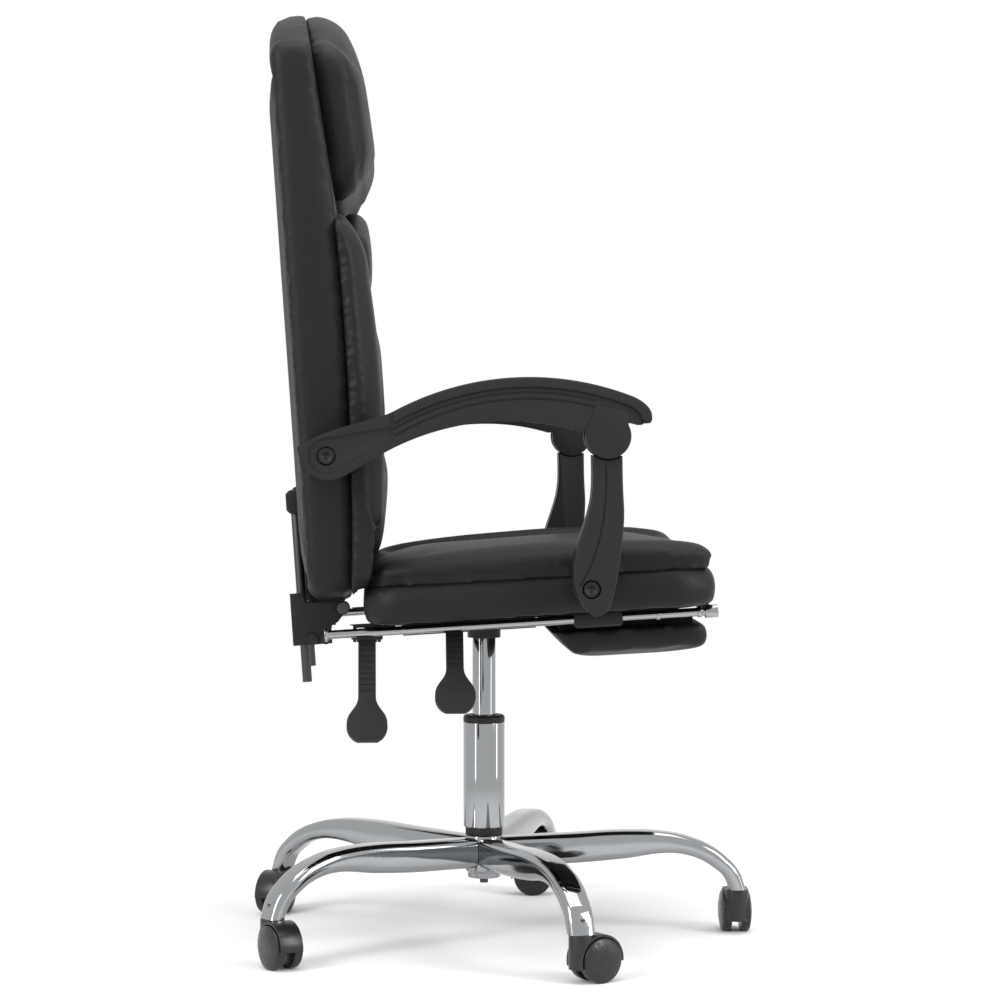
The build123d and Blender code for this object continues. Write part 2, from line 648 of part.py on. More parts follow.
def lever_handle(shaft):
    """Moulded handle with a ribbed shaft and a drop-shaped paddle, along its own -Y."""
    end = shaft + PADDLE_LENGTH
    wide = shaft + 0.62 * PADDLE_LENGTH

    def half(sign):
        flare = Spline((sign * HANDLE_HALF, -shaft), (sign * PADDLE_HALF, -wide),
                       tangents=((0, -1), (0, -1)))
        corner = ThreePointArc(
            (sign * PADDLE_HALF, -wide), (sign * (PADDLE_HALF - 4), -end + 6),
            (sign * (PADDLE_HALF - PADDLE_CORNER), -end))
        return [Line((sign * HANDLE_HALF, 0), (sign * HANDLE_HALF, -shaft)), flare, corner]

    foot = Line((PADDLE_CORNER - PADDLE_HALF, -end), (PADDLE_HALF - PADDLE_CORNER, -end))
    outline = make_face(half(-1) + [foot] + half(1) + [Line((-HANDLE_HALF, 0), (HANDLE_HALF, 0))])
    handle = Pos(0, 0, -HANDLE_THICK / 2) * extrude(outline, HANDLE_THICK)
    count = int((shaft - 2 * RIB_PITCH) / RIB_PITCH) + 1
    for i in range(count):
        y = -1.7 * RIB_PITCH - i * RIB_PITCH
        for side in (-1, 1):
            face = side * HANDLE_THICK / 2
            handle -= Pos(0, y, face) * Box(1.5 * HANDLE_HALF, RIB_WIDTH, 2 * RIB_DEPTH)
    return handle


def lift_rod_z():
    return CYLINDER_TOP + BUTTON_PROUD + SEAT_GAP + LEVER_ROD_R


def lift_lever_rod():
    """Lift rod: pivots in the plate's wall, with a tongue over the valve button."""
    z = lift_rod_z()
    rod = cross_bar(LEVER_ROD_R, LIFT_LEVER_X, z, -LEVER_ROD_END, BUTTON_R)
    low = z - LEVER_ROD_R
    tongue = block(LIFT_LEVER_X, BUTTON_R + 2, -BUTTON_R - 2, BUTTON_R, low, low + LEVER_ROD_R)
    pivot = long_bar(LIFT_PIVOT_R, -PAN_HALF - SHEET / 2, z, LIFT_LEVER_X - LIFT_PIVOT_HALF,
                     LIFT_LEVER_X + LIFT_PIVOT_HALF)
    return rod + tongue + pivot


def lift_lever_handle():
    """Lift handle on the end of its rod."""
    return handle_on_boss(LIFT_LEVER_X, -LEVER_ROD_END, lift_rod_z(), LIFT_SHAFT, "y")


def handle_on_boss(x, y, z, shaft, bore):
    """Handle whose head wraps a bar along Y or along X."""
    handle = handle_plane(x, y, z) * lever_handle(shaft)
    if bore == "y":
        head = cross_bar(HANDLE_BOSS_R, x, z, y - HANDLE_THICK / 2, y + 2 * HANDLE_THICK)
        return handle + head - cross_bar(LEVER_ROD_R, x, z, y, y + 3 * HANDLE_THICK)
    half = LEVER_EAR_GAP / 2 - GAP
    head = long_bar(HANDLE_BOSS_R, y, z, x - half, x + half)
    return handle + head - long_bar(LEVER_ROD_R + RUN_FIT, y, z, x - 2 * half, x + 2 * half)


def recline_lever_handle():
    """Recline handle, hinged between two ears under the seat."""
    return handle_on_boss(RECLINE_LEVER_X, RECLINE_LEVER_Y, RECLINE_LEVER_Z, RECLINE_SHAFT, "x")


def recline_lever_bracket():
    """Folded bracket under the seat board, with two ears and the lever's pin."""
    x, y, z = RECLINE_LEVER_X, RECLINE_LEVER_Y, RECLINE_LEVER_Z
    half = LEVER_EAR_GAP / 2
    bracket = None
    for side in (-1, 1):
        at = x + side * (half + LEVER_EAR / 2)
        ear = long_bar(HANDLE_BOSS_R, y, z, at - LEVER_EAR / 2, at + LEVER_EAR / 2)
        ear += block(at - LEVER_EAR / 2, at + LEVER_EAR / 2, y - HANDLE_BOSS_R, y + HANDLE_BOSS_R, z,
            SEAT_BOTTOM)
        bracket = ear if bracket is None else bracket + ear
    foot = x - half - LEVER_EAR
    bracket += SEAT * block(foot, foot + 60, y - HANDLE_BOSS_R, y + HANDLE_BOSS_R, -SHEET, 0)
    bracket -= SEAT * above_seat()
    return bracket + long_bar(LEVER_ROD_R, y, z, x - half - LEVER_EAR - 2, x + half + LEVER_EAR + 2)


# Footrest

def footrest_rails():
    """Sliding frame: two rails with stepped ends and rear caps,
    and the hinge rod pressed between them."""
    rail = long_bar(RAIL_R, -RAIL_Y, -RAIL_DROP, RAIL_REAR, RAIL_FRONT)
    rail += long_bar(RAIL_END_R, -RAIL_Y, -RAIL_DROP, RAIL_REAR, RAIL_REAR + RAIL_CAP_LENGTH)
    half = RAIL_END_LENGTH / 2
    rail += long_bar(RAIL_END_R, -RAIL_Y, -RAIL_DROP, RAIL_FRONT - half, RAIL_FRONT + half)
    for x in RAIL_RING_X:
        rail += long_bar(RAIL_RING_R, -RAIL_Y, -RAIL_DROP, x, x + RAIL_RING_LENGTH)
    rod = cross_bar(HINGE_ROD_R, RAIL_FRONT, -RAIL_DROP, -RAIL_Y, RAIL_Y)
    rail -= rod
    return SEAT * Compound(children=[rail, mirror(rail, about=Plane.XZ), rod])


def footrest_hinges():
    """Steel ears that swing the pad on the hinge rod."""
    drop = -PAD_TOP + 0.0
    leaf_rear = PAD_FRONT - PAD_LEAF
    eye = Pos(RAIL_FRONT, -RAIL_DROP) * Circle(PAD_EAR_R)
    neck = make_face(Polyline(
        (RAIL_FRONT - PAD_EAR_R, -RAIL_DROP), (RAIL_FRONT + 3, -RAIL_DROP - PAD_EAR_R + 2),
        (PAD_FRONT - 10, -drop),
        (leaf_rear, -drop), (leaf_rear, -drop + SHEET), (PAD_FRONT - 22, -drop + SHEET), close=True))
    ears = []
    for side in (-1, 1):
        y = side * PAD_EAR_Y
        ear = across(eye + neck, y - PAD_EAR_WIDTH / 2, y + PAD_EAR_WIDTH / 2)
        ears.append(ear - cross_bar(HINGE_ROD_R + RUN_FIT, RAIL_FRONT, -RAIL_DROP, -RAIL_Y, RAIL_Y))
    return SEAT * Compound(children=ears)


def pad_outline(inset, low, high):
    """Side outline of the footrest pad: slanted at the rear, rounded at the front."""
    r = 10.0
    front = PAD_FRONT - inset
    top, bottom = PAD_TOP - high, PAD_TOP - PAD_THICK + low
    return make_face([
        Line((PAD_REAR + inset, top), (front - r, top)),
        ThreePointArc((front - r, top), (front - r + r * SIN45, top - r + r * SIN45), (front, top - r)),
        Line((front, top - r), (front, bottom + r)),
        ThreePointArc((front, bottom + r), (front - r + r * SIN45, bottom + r - r * SIN45), (front - r,
            bottom)),
        Line((front - r, bottom), (PAD_REAR + inset + PAD_SLANT, bottom)),
        Line((PAD_REAR + inset + PAD_SLANT, bottom), (PAD_REAR + inset, top)),
    ])


def footrest_pad():
    """Padded footrest, crowned across its width."""
    sections = []
    half = ((1, 9, 7), (0.95, 2, 2), (0.86, 0.5, 0.8), (0.6, 0, 0.2), (0.25, 0, 0))
    rows = [(-y, inset, low) for y, inset, low in half] + list(reversed(half))
    for y, inset, low in rows:
        plane = Plane((0, y * PAD_HALF, 0), x_dir=(1, 0, 0), z_dir=(0, -1, 0))
        sections.append(plane * pad_outline(inset, low, PAD_BOARD))
    return SEAT * padded(sections)


def footrest_board():
    """Board that backs the footrest pad."""
    inset = 12.0
    return SEAT * block(PAD_REAR + inset, PAD_FRONT - inset, -PAD_HALF + inset, PAD_HALF - inset,
                        PAD_TOP - PAD_BOARD, PAD_TOP)


# Back frame

def back_bracket():
    """Folded steel bracket behind the hinge: web, two cheeks and flanges for the carriers."""
    outer = HINGE_EAR_Y - GAP
    cheek = make_face(Polyline(
        (BRACKET_REAR, BRACKET_TOP), (BRACKET_REAR + 14, BRACKET_TOP), (BRACKET_REAR + 18,
            BACK_BOTTOM - 4),
        (BRACKET_FRONT, BACK_BOTTOM - 4), (BRACKET_FRONT + 2, -16), (BRACKET_FRONT - 6, -20),
        (BRACKET_FRONT - 6, BRACKET_BOTTOM), (BRACKET_REAR, BRACKET_BOTTOM), close=True))
    ear = cheek + Circle(HINGE_EAR_R) + make_face(Polyline(
        (BRACKET_FRONT, BACK_BOTTOM - 4), (0, HINGE_EAR_R), (0, -HINGE_EAR_R), (BRACKET_FRONT + 2,
            -16), close=True))
    bracket = across(ear, -outer, -outer + HINGE_PLATE) + across(ear, outer - HINGE_PLATE, outer)
    bracket += block(BRACKET_REAR, BRACKET_REAR + SHEET, -outer, outer, BRACKET_BOTTOM, BACK_BOTTOM - 4)
    for side in (-1, 1):
        y = side * CARRIER_Y
        tab = block(BRACKET_REAR, BRACKET_REAR + 26, y - 16, y + 16, BRACKET_BOTTOM,
            BRACKET_BOTTOM + SHEET)
        tab += block(BRACKET_REAR, BRACKET_REAR + 20, y - 16, y + 16, BACK_BOTTOM - 4 - SHEET,
            BACK_BOTTOM - 4)
        bracket += tab
        bracket -= upright(CARRIER_R, CARRIER_X, y, BRACKET_BOTTOM - 1, BRACKET_TOP + 1)
    bracket -= cross_bar(HINGE_PIN_R + RUN_FIT, 0, 0, -outer - 1, outer + 1)
    for x in TIE_X:
        bracket -= cross_bar(TIE_R, x, TIE_Z, -outer - 1, outer + 1)
    return BACK * bracket


def bracket_ties():
    """Tie bolts across the foot of the bracket."""
    outer = HINGE_EAR_Y - GAP
    ties = []
    for x in TIE_X:
        bolt = cross_bar(TIE_R, x, TIE_Z, -outer, outer)
        for side in (-1, 1):
            bolt += cross_bar(TIE_R + 2.5, x, TIE_Z, side * outer, side * (outer + 4))
        ties.append(bolt)
    return BACK * Compound(children=ties)


def back_carriers():
    """Two upright rods that carry the back."""
    rods = [upright(CARRIER_R, CARRIER_X, side * CARRIER_Y, CARRIER_BOTTOM,
        CARRIER_TOP) for side in (-1, 1)]
    return BACK * Compound(children=rods)


def carrier_clamps():
    """Clamp blocks that bolt the carriers to the back panel."""
    low = CARRIER_TOP - CLAMP_HEIGHT + 4
    clamps = []
    for side in (-1, 1):
        y = side * CARRIER_Y
        clamp = block(CARRIER_X - 10, BACK_REAR, y - CLAMP_WIDTH / 2, y + CLAMP_WIDTH / 2, low,
            low + CLAMP_HEIGHT)
        rear = clamp.edges().filter_by(Axis.Y).group_by(Axis.X)[0]
        clamp = chamfer(rear, 4.0)
        clamps.append(clamp - upright(CARRIER_R, CARRIER_X, y, low - 1, CARRIER_TOP))
    return BACK * Compound(children=clamps)


# Back cushions

def arched(half_low, half_high, low, side_top, centre_top, r_low, r_high, low_arch=0.0):
    """Upholstery outline in Y and Z: rounded foot, straight sides and an arched top."""
    foot = half_low - r_low
    head = half_high - r_high

    def side(sign):
        knee = (sign * (foot + r_low * SIN45), low + r_low - r_low * SIN45)
        brow = (sign * (head + r_high * SIN45), side_top - r_high + r_high * SIN45)
        return [
            ThreePointArc((sign * foot, low), knee, (sign * half_low, low + r_low)),
            Line((sign * half_low, low + r_low), (sign * half_high, side_top - r_high)),
            ThreePointArc((sign * half_high, side_top - r_high), brow, (sign * head, side_top)),
        ]

    top = ThreePointArc((head, side_top), (0, centre_top), (-head, side_top))
    if low_arch:
        bottom = ThreePointArc((-foot, low), (0, low + low_arch), (foot, low))
    else:
        bottom = Line((-foot, low), (foot, low))
    return make_face([bottom] + side(1) + [top] + side(-1))


def back_outline(inset):
    return arched(BACK_HALF_LOW - inset, BACK_HALF_HIGH - inset, BACK_BOTTOM + inset,
        BACK_SIDE_TOP - inset,
                  BACK_CENTRE_TOP - inset, BACK_CORNER_LOW, BACK_CORNER_HIGH)


def face_line(offset=0.0):
    """Front face of the back slab in its side view, from the foot to the top."""
    lower = ThreePointArc(
        (FACE_BOTTOM_X + offset, 0), ((FACE_BOTTOM_X + FACE_X) / 2 + 5.5 + offset, 0.45 * FACE_SHOULDER),
        (FACE_X + offset, FACE_SHOULDER))
    upper = Line((FACE_X + offset, FACE_SHOULDER), (FACE_TOP_X + offset, BACK_CENTRE_TOP + 10))
    return [lower, upper]


def back_panel():
    """Upholstered board that closes the rear of the back."""
    low, side = BACK_BOTTOM + PANEL_INSET, BACK_SIDE_TOP - 2 * PANEL_INSET
    outline = arched(BACK_HALF_LOW - PANEL_INSET, BACK_HALF_HIGH - PANEL_INSET, low, side, side + 10,
                     BACK_CORNER_LOW, BACK_CORNER_HIGH)
    return BACK * extrude(facing(BACK_REAR, outline), PANEL_THICK)


def back_slab():
    """Main back cushion, drawn in at its edges and hollowed for the rear panel."""
    deep = FACE_X + 6
    rows = ((BACK_REAR, SLAB_EDGE), (BACK_REAR + 0.7 * SLAB_EDGE, 0.2 * SLAB_EDGE),
            (BACK_REAR + 2.5 * SLAB_EDGE, 0), (FACE_TOP_X, 1.0), (deep, 0.9 * SLAB_EDGE))
    slab = padded([facing(x, back_outline(inset)) for x, inset in rows])
    top = BACK_CENTRE_TOP + 10
    ahead = 4 * FACE_X
    front = make_face(face_line() + [
        Polyline((FACE_TOP_X, top), (ahead, top), (ahead, 0), (FACE_BOTTOM_X, 0))])
    slab -= across(front, -2 * SEAT_HALF, 2 * SEAT_HALF)
    brow = (BACK_REAR, BACK_CENTRE_TOP - 46), (BACK_REAR + 13, BACK_CENTRE_TOP - 14), (BACK_REAR + 46, top)
    behind = BACK_REAR - 9
    corner = make_face([
        ThreePointArc(*brow), Polyline(brow[2], (behind, top), (behind, brow[0][1]), brow[0])])
    slab -= across(corner, -2 * SEAT_HALF, 2 * SEAT_HALF)
    return BACK * slab - back_panel() - arm_stud(-1) - arm_stud(1)


HEAD_LEAN = math.degrees(math.atan2(FACE_X - FACE_TOP_X, BACK_CENTRE_TOP + 10 - FACE_SHOULDER))


def headrest_pillow():
    """Headrest pillow: boxed sides and a full crown that rolls over at the top."""
    rows = ((0, 6, 8, 3), (0.16, 1, 1, 0), (0.45, 0, 6, 5), (0.76, 5, 14, 16), (0.92, 26, 32, 29),
            (1, 60, 60, 48))
    side_top = BACK_SIDE_TOP - FACE_SHOULDER + 2
    crown = BACK_CENTRE_TOP - FACE_SHOULDER
    sections = []
    for share, inset, low, high in rows:
        outline = arched(PILLOW_HALF_LOW - inset, PILLOW_HALF_HIGH - inset, 4 + low, side_top - high,
                         crown - high, 50, 30, 18)
        sections.append(facing(SEAT_GAP + share * PILLOW_DEPTH, outline))
    return BACK * frame_at(FACE_X, FACE_SHOULDER, HEAD_LEAN) * padded(sections)


def upper_back_pad():
    """Pad below the headrest, with an arched top edge."""
    rows = ((0, 11), (0.2, 2), (0.5, 0), (0.82, 5), (1, 13))
    sections = []
    for share, inset in rows:
        outline = arched(PAD_SIDE - 4 - inset, PAD_SIDE - 4 - inset, UPPER_PAD_LOW + inset,
            UPPER_PAD_HIGH - inset,
                         UPPER_PAD_ARCH - inset, 16, 16)
        sections.append(facing(FACE_X + 2.2 + share * UPPER_PAD_DEPTH, outline))
    return BACK * padded(sections)


def lumbar_lobe(low, high):
    """One crowned lobe of the lower back pad, on a plane at its own foot."""
    rows = ((0, 11), (0.2, 2), (0.5, 0), (0.84, 12), (1, 34))
    sections = []
    for share, inset in rows:
        outline = arched(PAD_SIDE - inset, PAD_SIDE - inset, low + inset, high - inset,
            high - inset + 3, 24, 24)
        sections.append(facing(share * LUMBAR_DEPTH, outline))
    return padded(sections)


def lower_back_pad():
    """Lower back pad: two lobes that meet in a sewn channel."""
    seam = 2.0
    upper = Pos(FACE_X + 2.4, 0, 0) * lumbar_lobe(LUMBAR_SPLIT - seam, LUMBAR_HIGH)
    lean = math.degrees(math.atan2(FACE_X - FACE_BOTTOM_X, LUMBAR_SPLIT + 20))
    lower = frame_at(FACE_X + 2.4, LUMBAR_SPLIT, -lean) * Pos(0, 0,
        -LUMBAR_SPLIT) * lumbar_lobe(LUMBAR_LOW, LUMBAR_SPLIT + seam)
    return BACK * (upper + lower)


def bolster_outline(depth, end):
    """Leaf-shaped side outline of a back bolster, from its tip down to its foot."""
    rear = FACE_X + SEAT_GAP

    def front(x, z):
        return (rear + depth * (x - rear), z)

    tip, foot = BOLSTER_TIP - end, 12.0 + end
    heel = FACE_BOTTOM_X + 1.4
    brow = front(BOLSTER_BROW[0], tip - BOLSTER_BROW[1])
    return make_face([
        ThreePointArc((heel, foot), ((heel + rear) / 2 + 6.0, 0.45 * tip), (rear, tip)),
        ThreePointArc((rear, tip), front(BOLSTER_NOSE[0], tip - BOLSTER_NOSE[1]), brow),
        ThreePointArc(brow, front(BOLSTER_FULL, 0.6 * tip), front(*BOLSTER_KNEE)),
        ThreePointArc(front(*BOLSTER_KNEE), (heel + depth * 26, foot + 22), (heel, foot)),
    ])


def back_bolsters():
    """Side bolsters that flank the back pads."""
    inner = PAD_SIDE + 1.5
    wide = BOLSTER_OUTER - inner
    rows = ((0, 0.74, 8), (BOLSTER_SWELL[0], 1.0, 1), (BOLSTER_SWELL[1], 0.94, 2), (1, 0.42, 14))
    sections = []
    for share, depth, end in rows:
        plane = Plane((0, -inner - share * wide, 0), x_dir=(1, 0, 0), z_dir=(0, -1, 0))
        sections.append(plane * bolster_outline(depth, end))
    room = Pos((SEAT_FRONT + SEAT_REAR) / 2, 0, -SEAT_BOX) * extrude(
        RectangleRounded(SEAT_FRONT - SEAT_REAR + 6, 2 * SEAT_HALF, SEAT_CORNER), 3.4 * SEAT_BOX)
    leaf = BACK * padded(sections) - SEAT * room
    return both_sides(leaf)


# Arms

def arm_side(side, part):
    """The part as drawn on the right, or its mirror image on the left."""
    return part if side < 0 else mirror(part, about=Plane.XZ)


def arc_point(centre, radius, x):
    """Point on the upper half of a circle at X."""
    return (x, centre[1] + math.sqrt(radius ** 2 - (x - centre[0]) ** 2))


def top_curve(offset):
    """Main arc of the arm's top, moved down by an offset, from the rear to the tip."""
    radius = ARM_TOP_R - offset
    return [arc_point(ARM_TOP_C, radius, x) for x in (ARM_PAD_REAR, ARM_TOP_C[0], ARM_PAD_FRONT)]


def tip_line(front):
    """Seam between the shell and the pad where the arm curls down at its tip."""
    return front, (front[0] + 8.5, front[1] - 7), (front[0] + 14, front[1] - 16.5)


def arm_shell(side):
    """Moulded arm: arched beam, rear lobe, grooves along its sides and a forked knuckle."""
    rear, crest, front = top_curve(ARM_PAD_THICK)
    low_rear = arc_point(ARM_LOW_C, ARM_LOW_R, ARM_PIVOT_X + 59.5)
    low_front = arc_point(ARM_LOW_C, ARM_LOW_R, KNUCKLE_X - 29)
    lobe_x, lobe_z = ARM_PIVOT_X - 32, ARM_PIVOT_Z + 10
    rise = arc_point(ARM_TOP_C, ARM_TOP_R, ARM_PAD_REAR)
    tip = tip_line(front)
    chin, throat = (tip[2][0] - 5, tip[2][1] - 3.4), (KNUCKLE_X + 20, KNUCKLE_Z + 16)
    outline = make_face([
        Spline((lobe_x, lobe_z), (ARM_PIVOT_X + 15.5, ARM_PIVOT_Z + 31), rise,
               tangents=((0.8, 0.5), (0.85, 0.42))),
        Line(rise, rear), ThreePointArc(rear, crest, front), ThreePointArc(*tip),
        ThreePointArc(tip[2], (tip[2][0] - 1.4, tip[2][1] - 3.4), chin),
        Line(chin, throat), Line(throat, low_front),
        ThreePointArc(low_front, arc_point(ARM_LOW_C, ARM_LOW_R, -10), low_rear),
        Spline(low_rear, (ARM_PIVOT_X - 4, ARM_PIVOT_Z - 26), (lobe_x, lobe_z), tangents=((-0.9, -0.5),
            (-0.12, 0.9))),
    ])
    arm = across(outline, -ARM_OUT, -ARM_IN)
    arm -= across(spoon_recess(), -ARM_OUT - 1, -ARM_OUT + SPOON_DEPTH)
    for drop in ARM_GROOVE_DROP:
        radius = ARM_TOP_R - drop
        ring = Pos(*ARM_TOP_C) * (Circle(radius) - Circle(radius - ARM_GROOVE))
        length = KNUCKLE_X - ARM_PAD_REAR
        window = Pos((ARM_PAD_REAR + KNUCKLE_X - 23) / 2, ARM_PIVOT_Z + 57) * Rectangle(length - 7, 120)
        for face, inward in ((-ARM_OUT, 1), (-ARM_IN, -1)):
            arm -= across(ring & window, face - inward, face + inward * ARM_GROOVE_DEPTH)
    knuckle = Pos(KNUCKLE_X, KNUCKLE_Z) * Circle(KNUCKLE_R)
    neck = make_face(Polyline(
        (KNUCKLE_X - 22, KNUCKLE_Z + 12), (KNUCKLE_X - 14, KNUCKLE_Z + 34), (KNUCKLE_X + 22,
            KNUCKLE_Z + 26),
        (KNUCKLE_X + 22, KNUCKLE_Z + 10), close=True))
    arm += across(knuckle + neck, -ARM_OUT - KNUCKLE_PROUD, -ARM_IN)
    middle = -(ARM_IN + ARM_OUT) / 2
    arm -= cross_bar(KNUCKLE_R + GAP, KNUCKLE_X, KNUCKLE_Z, middle - TONGUE - GAP, middle + TONGUE + GAP)
    arm -= cross_bar(PIN_R, KNUCKLE_X, KNUCKLE_Z, -ARM_OUT, 0)
    arm -= cross_bar(STUD_R + RUN_FIT, ARM_PIVOT_X, ARM_PIVOT_Z, -2 * ARM_OUT, 0)
    pocket = -ARM_OUT + STUD_HEAD + HEAD_ROOM
    arm -= cross_bar(STUD_HEAD_R + HEAD_ROOM, ARM_PIVOT_X, ARM_PIVOT_Z, -2 * ARM_OUT, pocket)
    return arm_side(side, arm)


def spoon_recess():
    """Tapered recess in the arm's rear lobe, round the pivot bolt."""
    x, z = ARM_PIVOT_X, ARM_PIVOT_Z
    a = math.radians(SPOON_RISE)
    tail = (SPOON_TAIL * math.cos(a), SPOON_TAIL * math.sin(a))
    side, narrow = (-SPOON_R * math.sin(a), SPOON_R * math.cos(a)), 0.3
    end = (x + tail[0], z + tail[1])
    neck = Polyline(
        (x + side[0], z + side[1]), (end[0] + narrow * side[0], end[1] + narrow * side[1]),
        (end[0] - narrow * side[0], end[1] - narrow * side[1]), (x - side[0], z - side[1]), close=True)
    return make_face(neck) + Pos(x, z) * Circle(SPOON_R)


def arm_pad(side):
    """Soft-touch pad that caps the arm, curling over at the front tip."""
    rear, crest, front = top_curve(0)
    low_rear, low_crest, low_front = top_curve(ARM_PAD_THICK)
    seam = tip_line(low_front)
    slope = (front[1] - ARM_TOP_C[1], ARM_TOP_C[0] - front[0])
    nose, chin = (front[0] + 23, front[1] - 22), (front[0] + 18.5, front[1] - 30.5)
    outline = make_face([
        ThreePointArc(rear, crest, front),
        Spline(front, (front[0] + 16, front[1] - 9.5), nose, chin, tangents=(slope, (-1, 0))),
        Line(chin, seam[2]), ThreePointArc(*reversed(seam)),
        ThreePointArc(low_front, low_crest, low_rear),
        Line(low_rear, rear),
    ])
    outer, inner = -ARM_OUT - ARM_PAD_EDGE, -ARM_IN + ARM_PAD_EDGE

    def is_upper(edge):
        middle = edge @ 0.5
        return math.dist((middle.X, middle.Z), ARM_TOP_C) > ARM_TOP_R - ARM_PAD_THICK / 2

    return arm_side(side, broken_rims(across(outline, outer, inner), ARM_EDGE, outer, inner, keep=is_upper))


def knuckle_pin(side):
    """Pivot pin pressed into the forked knuckle."""
    return cross_bar(PIN_R, KNUCKLE_X, KNUCKLE_Z, side * ARM_IN, side * ARM_OUT)


def arm_post(side):
    """Moulded post: a tongue in the knuckle above a curved blade that is bolted to the seat."""
    x, z = KNUCKLE_X, KNUCKLE_Z
    blade = make_face([
        Spline((x - 17, z - 12), (x - 19, z - 75), (POST_PIVOT_X - 20, POST_PIVOT_Z + 14),
            (POST_PIVOT_X + 4, POST_PIVOT_Z - 30),
               tangents=((0, -1), (1, -0.55))),
        Spline((POST_PIVOT_X + 4, POST_PIVOT_Z - 30), (POST_PIVOT_X + 25, POST_PIVOT_Z - 5), (x + 18,
            z - 85), (x + 16, z - 12),
               tangents=((1, 0.1), (0, 1))),
        Line((x + 16, z - 12), (x - 17, z - 12)),
    ])
    post = broken_rims(across(blade, -POST_OUT, -POST_IN), ARM_EDGE, -POST_OUT, -POST_IN)
    line = [(x - 4, z - 30), (x - 5, z - 80), (POST_PIVOT_X + 2, POST_PIVOT_Z + 38),
            (POST_PIVOT_X - 14, POST_PIVOT_Z + 4)]
    beside = [(px + POST_GROOVE, pz) for px, pz in line]
    groove = make_face([
        Spline(*line), Line(line[-1], beside[-1]), Spline(*reversed(beside)), Line(beside[0], line[0])])
    post -= across(groove, -POST_OUT - 1, -POST_OUT + ARM_GROOVE_DEPTH)
    post -= cross_bar(KNUCKLE_R + LINK_SLACK + GAP, x, z, -2 * ARM_OUT, 0)
    middle = -(ARM_IN + ARM_OUT) / 2
    stalk = make_face(Polyline((x - 15, z - 45), (x - 15, z), (x + 14, z), (x + 14, z - 45), close=True))
    post += across(stalk + Pos(x, z) * Circle(TONGUE_R), middle - TONGUE, middle + TONGUE)
    post -= cross_bar(PIN_R + LINK_SLACK, x, z, -2 * ARM_OUT, 0)
    post -= cross_bar(STUD_R + RUN_FIT, POST_PIVOT_X, POST_PIVOT_Z, -2 * ARM_OUT, 0)
    pocket = -POST_OUT + STUD_HEAD + HEAD_ROOM
    post -= cross_bar(STUD_HEAD_R + HEAD_ROOM, POST_PIVOT_X, POST_PIVOT_Z, -2 * ARM_OUT, pocket)
    return arm_side(side, post)


def pivot_stud(side, x, z, root, inner, outer):
    """Flanged pivot bolt along Y: flange on the frame, shoulder, shank and head."""
    head = outer - STUD_HEAD
    stud = cross_bar(STUD_FLANGE_R, x, z, side * root, side * (root + STUD_FLANGE))
    stud += cross_bar(STUD_HEAD_R, x, z, side * (root + STUD_FLANGE), side * (inner - GAP))
    stud += cross_bar(STUD_R, x, z, side * (inner - GAP), side * head)
    return stud + cross_bar(STUD_HEAD_R, x, z, side * head, side * (outer - HEAD_ROOM))


def arm_stud(side):
    return pivot_stud(side, ARM_PIVOT_X, ARM_PIVOT_Z, BACK_HALF_LOW - 1, ARM_IN, ARM_OUT)


def post_stud(side):
    return pivot_stud(side, POST_PIVOT_X, POST_PIVOT_Z, SEAT_HALF - 2.5, POST_IN, POST_OUT)


def caster_place(index):
    """Location of a caster under its leg, turned to its heading."""
    a = math.radians(index * LEG_ANGLE)
    return Pos(STEM_RING * math.cos(a), STEM_RING * math.sin(a), 0) * Rot(0, 0, CASTER_HEADING[index])


def build():
    """All nodes by name."""
    nodes = {
        "base_hub": base_hub(), "column_tube": column_tube(), "column_collar": column_collar(),
        "column_bush": column_bush(), "thrust_bearing": thrust_bearing(),
        "gas_piston_rod": gas_piston_rod(),
        "gas_cylinder": gas_cylinder(), "gas_valve_button": gas_valve_button(),
        "tilt_plate": tilt_plate(),
        "seat_board": seat_board(), "seat_base_cushion": seat_base_cushion(),
        "seat_top_cushion": seat_top_cushion(),
        "seat_hinge_ears": seat_hinge_ears(),
        "seat_fasteners": Compound(children=[hinge_pins(), seat_bolts()]),
        "footrest_guides": footrest_guides(), "recline_lever_bracket": recline_lever_bracket(),
        "post_studs": Compound(children=[post_stud(-1), post_stud(1)]),
        "lift_lever_rod": lift_lever_rod(), "lift_lever_handle": lift_lever_handle(),
        "recline_lever_handle": recline_lever_handle(), "footrest_rails": footrest_rails(),
        "footrest_hinges": footrest_hinges(), "footrest_board": footrest_board(),
        "footrest_pad": footrest_pad(),
        "back_bracket": back_bracket(), "back_carriers": back_carriers(),
        "carrier_clamps": carrier_clamps(), "back_panel": back_panel(), "back_slab": back_slab(),
        "headrest_pillow": headrest_pillow(), "upper_back_pad": upper_back_pad(),
        "lower_back_pad": lower_back_pad(),
        "back_bolsters": back_bolsters(),
        "back_fasteners": Compound(children=[bracket_ties(), arm_stud(-1), arm_stud(1)]),
    }
    for side, hand in ((-1, "right"), (1, "left")):
        nodes[f"arm_shell_{hand}"] = Compound(children=[arm_shell(side), knuckle_pin(side)])
        nodes[f"arm_pad_{hand}"] = arm_pad(side)
        nodes[f"arm_post_{hand}"] = arm_post(side)
    leg, hood, steel, wheels = base_leg(), caster_hood(), caster_pins(), caster_wheels()
    for i in range(LEG_COUNT):
        place = caster_place(i)
        nodes[f"base_leg_{i + 1}"] = Rot(0, 0, i * LEG_ANGLE) * leg
        nodes[f"caster_hood_{i + 1}"] = place * hood
        nodes[f"caster_pins_{i + 1}"] = place * steel
        nodes[f"caster_wheels_{i + 1}"] = place * wheels
    return nodes


